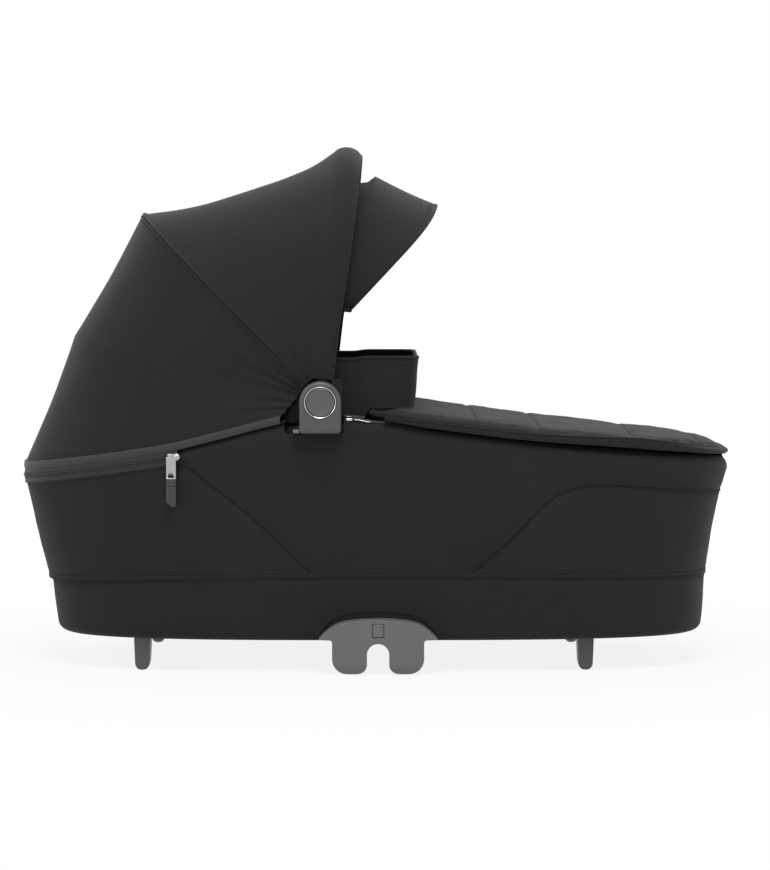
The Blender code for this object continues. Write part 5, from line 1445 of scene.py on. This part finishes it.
def buildFlap():
    route, rows = flapRoute(), flap["rows"]
    grid = []
    for k, (x, y) in enumerate(route):
        run = (Vector(route[min(k + 1, len(route) - 1)]) - Vector(route[max(k - 1, 0)])).normalized()
        out = Vector((-run.y, run.x, 0))
        onPad = smooth((x + 0.016) / 0.010)
        padTop = apronTopAt(x, min(abs(y) / apronHalf(x), 0.98)) + flap["base"] - 0.0006
        base = mix(rimHeightAt(x) + 0.0006, padTop, onPad)
        sag = 0.0030 * (1 - abs(y) / flap["half"]) ** 2
        top = flap["top"] - 0.0022 - sag - 0.002 * smooth((-0.010 - x) / 0.02)
        forward = smooth(x / 0.04)
        column = []
        for n in range(rows):
            share = n / (rows - 1)
            spot = Vector((x + flap["lean"] * forward * share ** 1.3, y, mix(base, top, share)))
            place = Vector((x, y, 0)) / 0.05 + Vector((0, 0, share * 1.4))
            wave = noise.noise(place) * 0.0022 * math.sin(math.pi * share * 0.9)
            column.append(spot + out * (wave + flap["thickness"] / 2))
        grid.append(column)
    piece = clothSheet("windFlap", grid, flap["thickness"], flap["inside"], blackCloth)
    settle(piece, "wind_flap", "black_fabric", "wind_flap")
    layFlat(grid, max((c[-1] - c[0]).length for c in grid))
    normals = gridNormals(grid, flap["inside"])
    edge = [c[-1] - n[-1] * flap["thickness"] / 2 for c, n in zip(grid, normals)]
    section = roundSection(0.0023, 0.0026, 14, lift=-0.0004)
    addTrim("windFlapBinding", edge, [upward] * len(edge), section, seamCloth, "wind_flap")
    row = [c[-3] + n[-3] * 0.0002 for c, n in zip(grid, normals)]
    addStitches("windFlapStitches", row, [n[-3] for n in normals], 0.0042, 0.0004, "wind_flap")
    foot = [c[0] + upward * 0.0008 - n[0] * flap["thickness"] / 2 for c, n in zip(grid, normals)]
    section = roundSection(0.0018, 0.0024, 10)
    addTrim("windFlapFoot", foot, [n[0] for n in normals], section, seamCloth, "wind_flap")


print("apron")
apronPad = buildApron()
buildApronZip()
buildChannelStitches(apronPad)
buildFlap()


inner = {
    "liningInset": 0.0193, "thickness": 0.0115, "floor": 0.0475, "topDrop": 0.0366,
    "columns": 300, "rows": 26,
    "puff": 0.0022, "tufts": 10, "mattressLow": 0.0478, "mattressTop": 0.0898, "side": 0.0328,
    "voxel": 0.006, "pressure": 4.0, "cap": 0.006,
    # the mattress's section: how far up from its top or bottom, how far in from its side
    "lowLevels": ((0, 0.009), (0.004, 0.003), (0.011, 0.001)),
    "topLevels": ((-0.010, 0.002), (-0.004, 0.006), (0, 0.016), (0.003, 0.05), (0.0045, 0.11), (0.005, 0.14)),
}


def liningPoint(turn, share, inset):
    z = mix(inner["floor"], rimHeightAt(rimX(turn)) - inner["topDrop"], share)
    low, high = wallLevels(turn)
    if z < low:
        return bandLevel(turn, z, inset)
    return wallPoint(turn, (z - low) / (high - low), inset)


def buildLining():
    rows, face = inner["rows"], inner["liningInset"] + inner["thickness"]
    turns = rimStations(0, math.tau, inner["columns"], closed=True)
    rings = []
    for k, t in enumerate(turns):
        tuft = abs(math.cos(math.tau * k / inner["columns"] * inner["tufts"])) ** 0.6
        ring = [liningPoint(t, n / 6, inner["liningInset"]) for n in range(7)]
        for n in range(rows + 1):
            share = 1 - n / rows
            puff = inner["puff"] * math.sin(math.pi * share) * (0.55 + 0.45 * tuft)
            ring.append(liningPoint(t, share, face - 0.0010 + puff))
        rings.append(ring)
    lining = loftPiece("liningPad", rings, liningCloth, wrapRun=True)
    settle(lining, "cot", "pale_fabric", "lining")
    path = [liningPoint(t, 1, face - 0.0015) for t in turns]
    section = roundSection(0.0016, 0.0016, 10, lift=-0.0012)
    ups = [upward] * len(path)
    addTrim("liningPiping", path, ups, section, liningCloth, "cot", "pale_fabric", closed=True)


def buildMattress():
    low, top, side = inner["mattressLow"], inner["mattressTop"], inner["side"]
    levels = [(low + rise, side + inset) for rise, inset in inner["lowLevels"]]
    levels.append((mix(low, top, 0.5), side + 0.0005))
    levels += [(top + rise, side + inset) for rise, inset in inner["topLevels"]]
    turns = rimStations(0, math.tau, 120, closed=True)
    rings = [[bandLevel(t, z, inset) for t in turns] for z, inset in levels]
    mattress = loftPiece("mattressPad", rings, liningCloth)
    swell(mattress, inner)
    for vertex in mattress.data.vertices:
        vertex.co.z = clamp(vertex.co.z, low, top + 0.0078)
    clothCoords(mattress)
    settle(mattress, "cot", "pale_fabric", "mattress")
    turns = rimStations(0, math.tau, 300, closed=True)
    path = [bandLevel(t, top - 0.0035, side + 0.0045) for t in turns]
    outs = [rimOut(t) for t in turns]
    section = roundSection(0.0018, 0.0018, 10)
    addTrim("mattressPiping", path, outs, section, liningCloth, "cot", "pale_fabric", closed=True)


print("lining and mattress")
buildLining()
buildMattress()


housing = {
    "half": 0.0245, "low": 0.2841, "inner": 0.2032, "face": 0.226, "ringOuter": 0.0190, "button": 0.0168,
    "recess": 0.0145, "proud": 0.0004, "capDepth": 0.0085, "pin": 0.0043, "pinHole": (0.195, 0.2075),
}


def buildHousing(name, side):
    half, centre, across = housing["half"], (hinge.x, 0, hinge.z), (0, side, 0)
    outline = [(-half, housing["low"]), (half, housing["low"])]
    for n in range(61):
        a = math.pi * n / 60
        outline.append((half * math.cos(a), hinge.z + half * math.sin(a)))
    place = sidePlace(side, hinge.x)
    shell = prismPiece("hingeHousing." + name, outline, housing["inner"], housing["face"], place, shadeNylon)
    roundEdges(shell, 0.0042, 6)
    bake(shell)
    radius, outer = housing["button"], housing["ringOuter"]
    floor = housing["face"] - housing["recess"]
    bore(shell, outer + 0.0004, floor, housing["face"] + 0.004, centre, across, 96)
    bore(shell, housing["pin"], *housing["pinHole"], centre, across, 32)
    evenShading(shell)
    settle(shell, "cot", "grey_plastic", "hinge_housing_" + name)
    face = housing["face"] + housing["proud"]
    # share of the button's radius, depth under its face
    dish = ((0.55, -0.0009), (0.80, -0.0005), (0.90, -0.0001), (0.945, 0), (0.975, -0.0003), (0.985, -0.0010))
    cap = [(0.0001, face - 0.0010)] + [(radius * share, face + drop) for share, drop in dish]
    cap.append((radius * 0.985, face - housing["capDepth"]))
    button = turnedPiece("releaseButton." + name, cap, centre, across, buttonAluminium)
    settle(button, "button_" + name, "satin_aluminium", "button_" + name)
    low, inside = floor + 0.0003, radius + 0.0003
    ring = [(inside, low), (outer, low), (outer, face - 0.0006), (outer - 0.0004, face + 0.0001),
            (mix(inside, outer, 0.5), face + 0.0005), (inside + 0.0003, face + 0.0001),
            (inside, face - 0.0006)]
    bright = turnedPiece("buttonRing." + name, ring, centre, across, chromedZinc, bored=True)
    settle(bright, "cot", "bright_metal", "button_ring_" + name)
    foot = boxPiece("housingFoot." + name, (hinge.x - 0.0280, side * 0.2150, 0.2868), (1, 0, 0), upward,
                    (0.0080, 0.0044, 0.0130), greyNylon, 0.0016, 4)
    settle(foot, "cot", "grey_plastic")


def arcPoints(centreX, centreZ, radiusX, radiusZ, start, end, steps):  # start and end in quarter turns
    turns = [math.pi / 2 * mix(start, end, n / steps) for n in range(steps + 1)]
    return [(centreX + radiusX * math.cos(t), centreZ + radiusZ * math.sin(t)) for t in turns]


def adapterOutline():
    a = adapter
    keys = ("slotHalf", "lobe", "forkHalf", "foot", "wingHeight")
    slotHalf, lobe, fork, foot, wing = (a[key] for key in keys)
    half = arcPoints(0, a["slotTop"] - slotHalf, slotHalf, slotHalf, 1, 0, 16)
    inLobe, hollow = 0.68 * lobe, 0.0032
    corner = arcPoints(0, 0, inLobe, 0.6 * lobe, 0, 1, 8)
    half += [(slotHalf + inLobe - x, foot + 0.6 * lobe - z) for x, z in corner]
    half += arcPoints(fork - lobe, foot + lobe, lobe, lobe, -1, 0, 12)
    under = arcPoints(0, 0, hollow, hollow, 0, 1, 6)
    half += [(fork + hollow - x, wing - 0.0010 - hollow + z) for x, z in under]
    half.append((a["wing"] - 0.0010, wing - 0.0006))
    half += archOver(a["wing"], wing, a["top"])
    return half + [(-x, z) for x, z in reversed(half[1:-1])]


def roundLobes(piece, side):  # the adapter's lobes round off towards the ground
    top, back, face = adapter["lobeTop"], adapter["back"], adapter["face"]
    work = bmesh.new()
    work.from_mesh(piece.data)
    for z in adapter["lobeLevels"]:
        geometry = work.verts[:] + work.edges[:] + work.faces[:]
        bmesh.ops.bisect_plane(work, geom=geometry, plane_co=(0, 0, z), plane_no=(0, 0, 1))
    for vert in work.verts:
        if vert.co.z < top:
            part = (top - vert.co.z) / adapter["lobeSpan"]
            pull = adapter["lobePull"] * (1 - math.sqrt(max(1 - part * part, 0)))
            span = (abs(vert.co.y) - back) / (face - back)
            vert.co.y -= side * pull * mix(-0.6, 1, span)
    work.to_mesh(piece.data)
    work.free()
    piece.data.set_sharp_from_angle(angle=math.radians(38))


def buildAdapter(name, side):
    x, face, latch = adapter["x"], adapter["face"], adapter["latchHeight"]
    outline, place = adapterOutline(), sidePlace(side, adapter["x"])
    body = prismPiece("chassisAdapter." + name, outline, adapter["back"] + 0.0006, face, place, greyNylon)
    roundEdges(body, 0.0024, 4, 50)
    bake(body)
    roundLobes(body, side)
    cutBy(body, boxPiece("latchCutter", (x, side * (face - 0.0055), latch), (1, 0, 0), upward,
                         adapter["latchHole"], darkPlastic, 0.0016))
    for end in (-1, 1):
        centre = (x + end * adapter["screwReach"], 0, adapter["screwHeight"])
        bore(body, *adapter["screw"], centre, (0, side, 0), 24)
    evenShading(body)
    settle(body, "cot", "grey_plastic", "adapter_" + name)
    button = boxPiece("adapterLatch." + name, (x, side * (face + 0.0004 - 0.00375), latch), (1, 0, 0), upward,
                      adapter["latch"], greyNylon, 0.0016, 4)
    settle(button, "latch_" + name, "grey_plastic", "latch_button_" + name)


def buildFoot(name, x, side):
    (start, tip, height), top, half = feet["tip"], feet["top"], []
    for n in range(15):
        turn = math.pi / 2 * n / 14
        half.append((mix(start, tip, math.sin(turn) ** 0.8), height * (1 - math.cos(turn))))
    half += feet["sides"] + [(feet["rootHalf"], top)]
    outline = half + [(-a, b) for a, b in reversed(half)]
    rings = []
    for depth in feet["depths"]:
        toe = clamp((feet["toeEnd"] - depth) / feet["toeLength"])
        rise = feet["toeRise"] * (1 - math.sqrt(1 - toe ** 2))
        rings.append([Vector((x + a, side * depth, mix(rise, top, b / top))) for a, b in outline])
    foot = loftPiece("foot." + name, rings, shadeNylon, sharp=50)
    roundEdges(foot, 0.0016, 3, 50)
    bake(foot)
    bore(foot, *feet["screw"], (x, side * feet["screwDepth"], 0), (0, 0, -1), 24)
    evenShading(foot)
    settle(foot, "cot", "grey_plastic", "foot_" + name)


def rollPlace(x, side, angle, lift):  # a place on the rim's roll, with the way along it and the way out
    turn, a = side * planTurn(x, tub["rim"]), math.radians(angle)
    out = rollOut(turn, a)
    ahead = rimPoint(turn - side * 0.01, 0, 0) - rimPoint(turn + side * 0.01, 0, 0)
    run = (ahead - out * ahead.dot(out)).normalized()
    return rollPoint(turn, a) + out * lift, run, out


apronPull = {
    "angle": 58, "sliderX": -0.0320, "pivotX": -0.0272, "tipX": -0.0062, "eye": 0.0026, "halfDepth": 0.0008,
    "paddle": [(0.0062, -0.0019), (0.0100, -0.0020), (0.0132, -0.0024), (0.0202, -0.0025), (0.0214, -0.0016)],
    "cordPlaces": (-0.0040, 0.0010, 0.0060, 0.0100), "endPlaces": (-0.0385, -0.0140), "endAngle": 100,
    "slider": (0.0088, 0.0068, 0.0040), "sliderEye": (0.0052, 0.0034, 0.0080),
}


def buildApronPull(name, side):
    angle, eye, depth = apronPull["angle"], apronPull["eye"], apronPull["halfDepth"]
    spot, run, out = rollPlace(apronPull["sliderX"], side, angle, 0.0022)
    across = out.cross(run)
    slider = boxPiece("apronSlider." + name, spot, run, across, apronPull["slider"], chromedZinc, 0.0014, 4)
    cutBy(slider, boxPiece("eyeCutter", spot, run, across, apronPull["sliderEye"], darkPlastic, 0.0012))
    settle(slider, "cot", "satin_aluminium", "apron_zip_slider_" + name)
    spot, run, out = rollPlace(apronPull["pivotX"], side, angle, 0.0030)
    run = (rollPlace(apronPull["tipX"], side, angle - 4, 0.0018)[0] - spot).normalized()
    across = out.cross(run).normalized()
    points = []
    for n in range(9):  # a round eye, a waist and a paddle
        a = math.pi / 2 + math.pi * n / 8
        points.append((eye + eye * math.cos(a), eye * math.sin(a)))
    points += apronPull["paddle"] + [(a, -b) for a, b in reversed(apronPull["paddle"])]
    rings = [[spot + run * a + across * b + out * d for a, b in points] for d in (-depth, depth)]
    pull = loftPiece("apronPull." + name, rings, chromedZinc)
    roundEdges(pull, 0.0004, 2)
    settle(bake(pull), "apron_pull_" + name, "bright_metal", "apron_zip_pull_" + name)
    places = [rollPlace(x, side, angle - 4, 0.0012) for x in apronPull["cordPlaces"]]
    cord = [spot + run * 0.0172 + out * 0.0008] + [place[0] for place in places]
    ups = [out] + [place[2] for place in places]
    section = roundSection(0.0007, 0.0007, 10)
    addTrim("apronPullCord." + name, cord, ups, section, softStrap, "apron_pull_" + name, "bright_metal")
    # the end of the apron's zip, bound in tape, beside the slider
    lines = [mix(*apronPull["endPlaces"], n / 11) for n in range(12)]
    places = [rollPlace(x, side, apronPull["endAngle"], 0.0010) for x in lines]
    path, ups = [place[0] for place in places], [place[2] for place in places]
    section = roundSection(0.0052, 0.0026, 14)
    addTrim("apronZipEnd." + name, path, ups, section, edgeTape, "cot", "grey_zip_tape")


print("hinges, adapters and feet")
for name, side in sides.items():
    buildHousing(name, side)
    buildAdapter(name, side)
    buildApronPull(name, side)
    for end in ("head", "end"):
        buildFoot(end + "_" + name, feet[end], side)


carried = {  # finishes of the CAD nodes that stay; the others are plated steel
    darkPlastic: ("base_tray", "wall_board", "side_post_left", "side_post_right"),
    blackAluminium: ("rim_tube_head", "rim_tube_foot", "rear_bow", "mid_bow", "front_bow"),
}
finishes = {name: finish for finish, names in carried.items() for name in names}
for name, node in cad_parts.items():
    if node.hide_render:
        continue
    for k in range(len(node.material_slots)):
        node.material_slots[k].material = finishes.get(name, platedSteel)


studio = {
    "eye": (0, -4.0, 0.469), "pitch": 2.82, "yaw": 0.16, "lens": 134.35, "sensor": 36.0, "reach": 60.0,
    "backdrop": "#ffffff", "floor": "#f2f2f2", "floorPale": "#f6f6f6", "floorHalf": 9.0, "shade": 0.13,
    "shadeFrom": 0.25, "shadeTo": 1.0, "ambient": "#e4e4e4", "ambientStrength": 0.36,
    "lamps": [  # place, aim, width, power in watts
        ((0.1, -1.7, 3.0), (0, 0, 0.3), 1.5, 62.0),
        ((-2.1, -1.8, 1.3), (0, 0, 0.3), 1.0, 10.0),
        ((-0.3, 1.0, 2.8), (0, 0, 0.35), 1.8, 16.0),
        ((2.4, -1.2, 1.0), (0.1, 0, 0.3), 1.2, 2.0),
        ((0.4, 2.8, 1.7), (0, 0, 0.3), 1.6, 16.0),
    ],
}


def seenRays(tree):  # 1 for what the camera sees straight, reflected or through glass
    path = addNode(tree, "ShaderNodeLightPath")
    seen = mathNode(tree, "ADD", path.outputs["Is Camera Ray"], path.outputs["Is Glossy Ray"])
    both = addNode(tree, "ShaderNodeMath", {"operation": "ADD", "use_clamp": True},
                   {0: seen, 1: path.outputs["Is Transmission Ray"]})
    return both.outputs[0]


def mixShaders(tree, share, first, second):
    return addNode(tree, "ShaderNodeMixShader", links={0: share, 1: first.outputs[0], 2: second.outputs[0]})


def buildWorld(scene):
    world = bpy.data.worlds.new("studio")
    scene.world = world
    world.use_nodes = True
    tree = world.node_tree
    tree.nodes.clear()
    ambient = {"Color": linear(studio["ambient"]), "Strength": studio["ambientStrength"]}
    light = addNode(tree, "ShaderNodeBackground", ambient)
    white = addNode(tree, "ShaderNodeBackground", {"Color": linear(studio["backdrop"]), "Strength": 1.0})
    both = mixShaders(tree, seenRays(tree), light, white)
    addNode(tree, "ShaderNodeOutputWorld", links={"Surface": both.outputs[0]})


def mattWhitePaper():
    # the paper is over-lit to white all round, and takes a faint shade only close to the cot
    material = bpy.data.materials.new("matt_white_paper")
    material.use_nodes = True
    tree = material.node_tree
    tree.nodes.clear()
    place = objectPlace(tree)
    cloudy = addNode(tree, "ShaderNodeTexNoise", {"Scale": 3.0}, {"Vector": place})
    tint = darkToPale(tree, {"dark": studio["floor"], "pale": studio["floorPale"]}, cloudy.outputs[0])
    matt = addNode(tree, "ShaderNodeBsdfDiffuse", links={"Color": tint})
    glow = addNode(tree, "ShaderNodeEmission", {"Color": linear(studio["backdrop"]), "Strength": 1.0})
    away = addNode(tree, "ShaderNodeVectorMath", {"operation": "LENGTH"}, {0: place}).outputs["Value"]
    edges = (studio["shadeFrom"], studio["shadeTo"])
    white = rangeNode(tree, away, edges, (1 - studio["shade"], 1.0), "SMOOTHSTEP")
    both = mixShaders(tree, mathNode(tree, "MULTIPLY", seenRays(tree), white), matt, glow)
    addNode(tree, "ShaderNodeOutputMaterial", links={"Surface": both.outputs[0]})
    return material


def buildStudio():
    scene = bpy.context.scene
    scene.view_settings.view_transform = "Standard"
    buildWorld(scene)
    half = studio["floorHalf"]
    corners = [Vector((x * half, y * half, 0)) for x, y in ((-1, -1), (1, -1), (1, 1), (-1, 1))]
    meshPiece("floor", corners, [(0, 1, 2, 3)], mattWhitePaper())
    for n, (place, aim, width, power) in enumerate(studio["lamps"]):
        lamp = bpy.data.lights.new("softbox" + str(n), "AREA")
        lamp.shape = "SQUARE"
        lamp.size = width
        lamp.energy = power
        holder = bpy.data.objects.new("softbox" + str(n), lamp)
        holder.location = place
        holder.rotation_euler = (Vector(aim) - Vector(place)).to_track_quat("-Z", "Y").to_euler()
        scene.collection.objects.link(holder)
    lens = bpy.data.cameras.new("camera")
    lens.lens = studio["lens"]
    lens.sensor_width = studio["sensor"]
    lens.clip_end = studio["reach"]
    camera = bpy.data.objects.new("camera", lens)
    camera.location = studio["eye"]
    camera.rotation_euler = (math.radians(90 - studio["pitch"]), 0, math.radians(-studio["yaw"]))
    scene.collection.objects.link(camera)
    scene.camera = camera


print("studio")
buildStudio()
print("done")
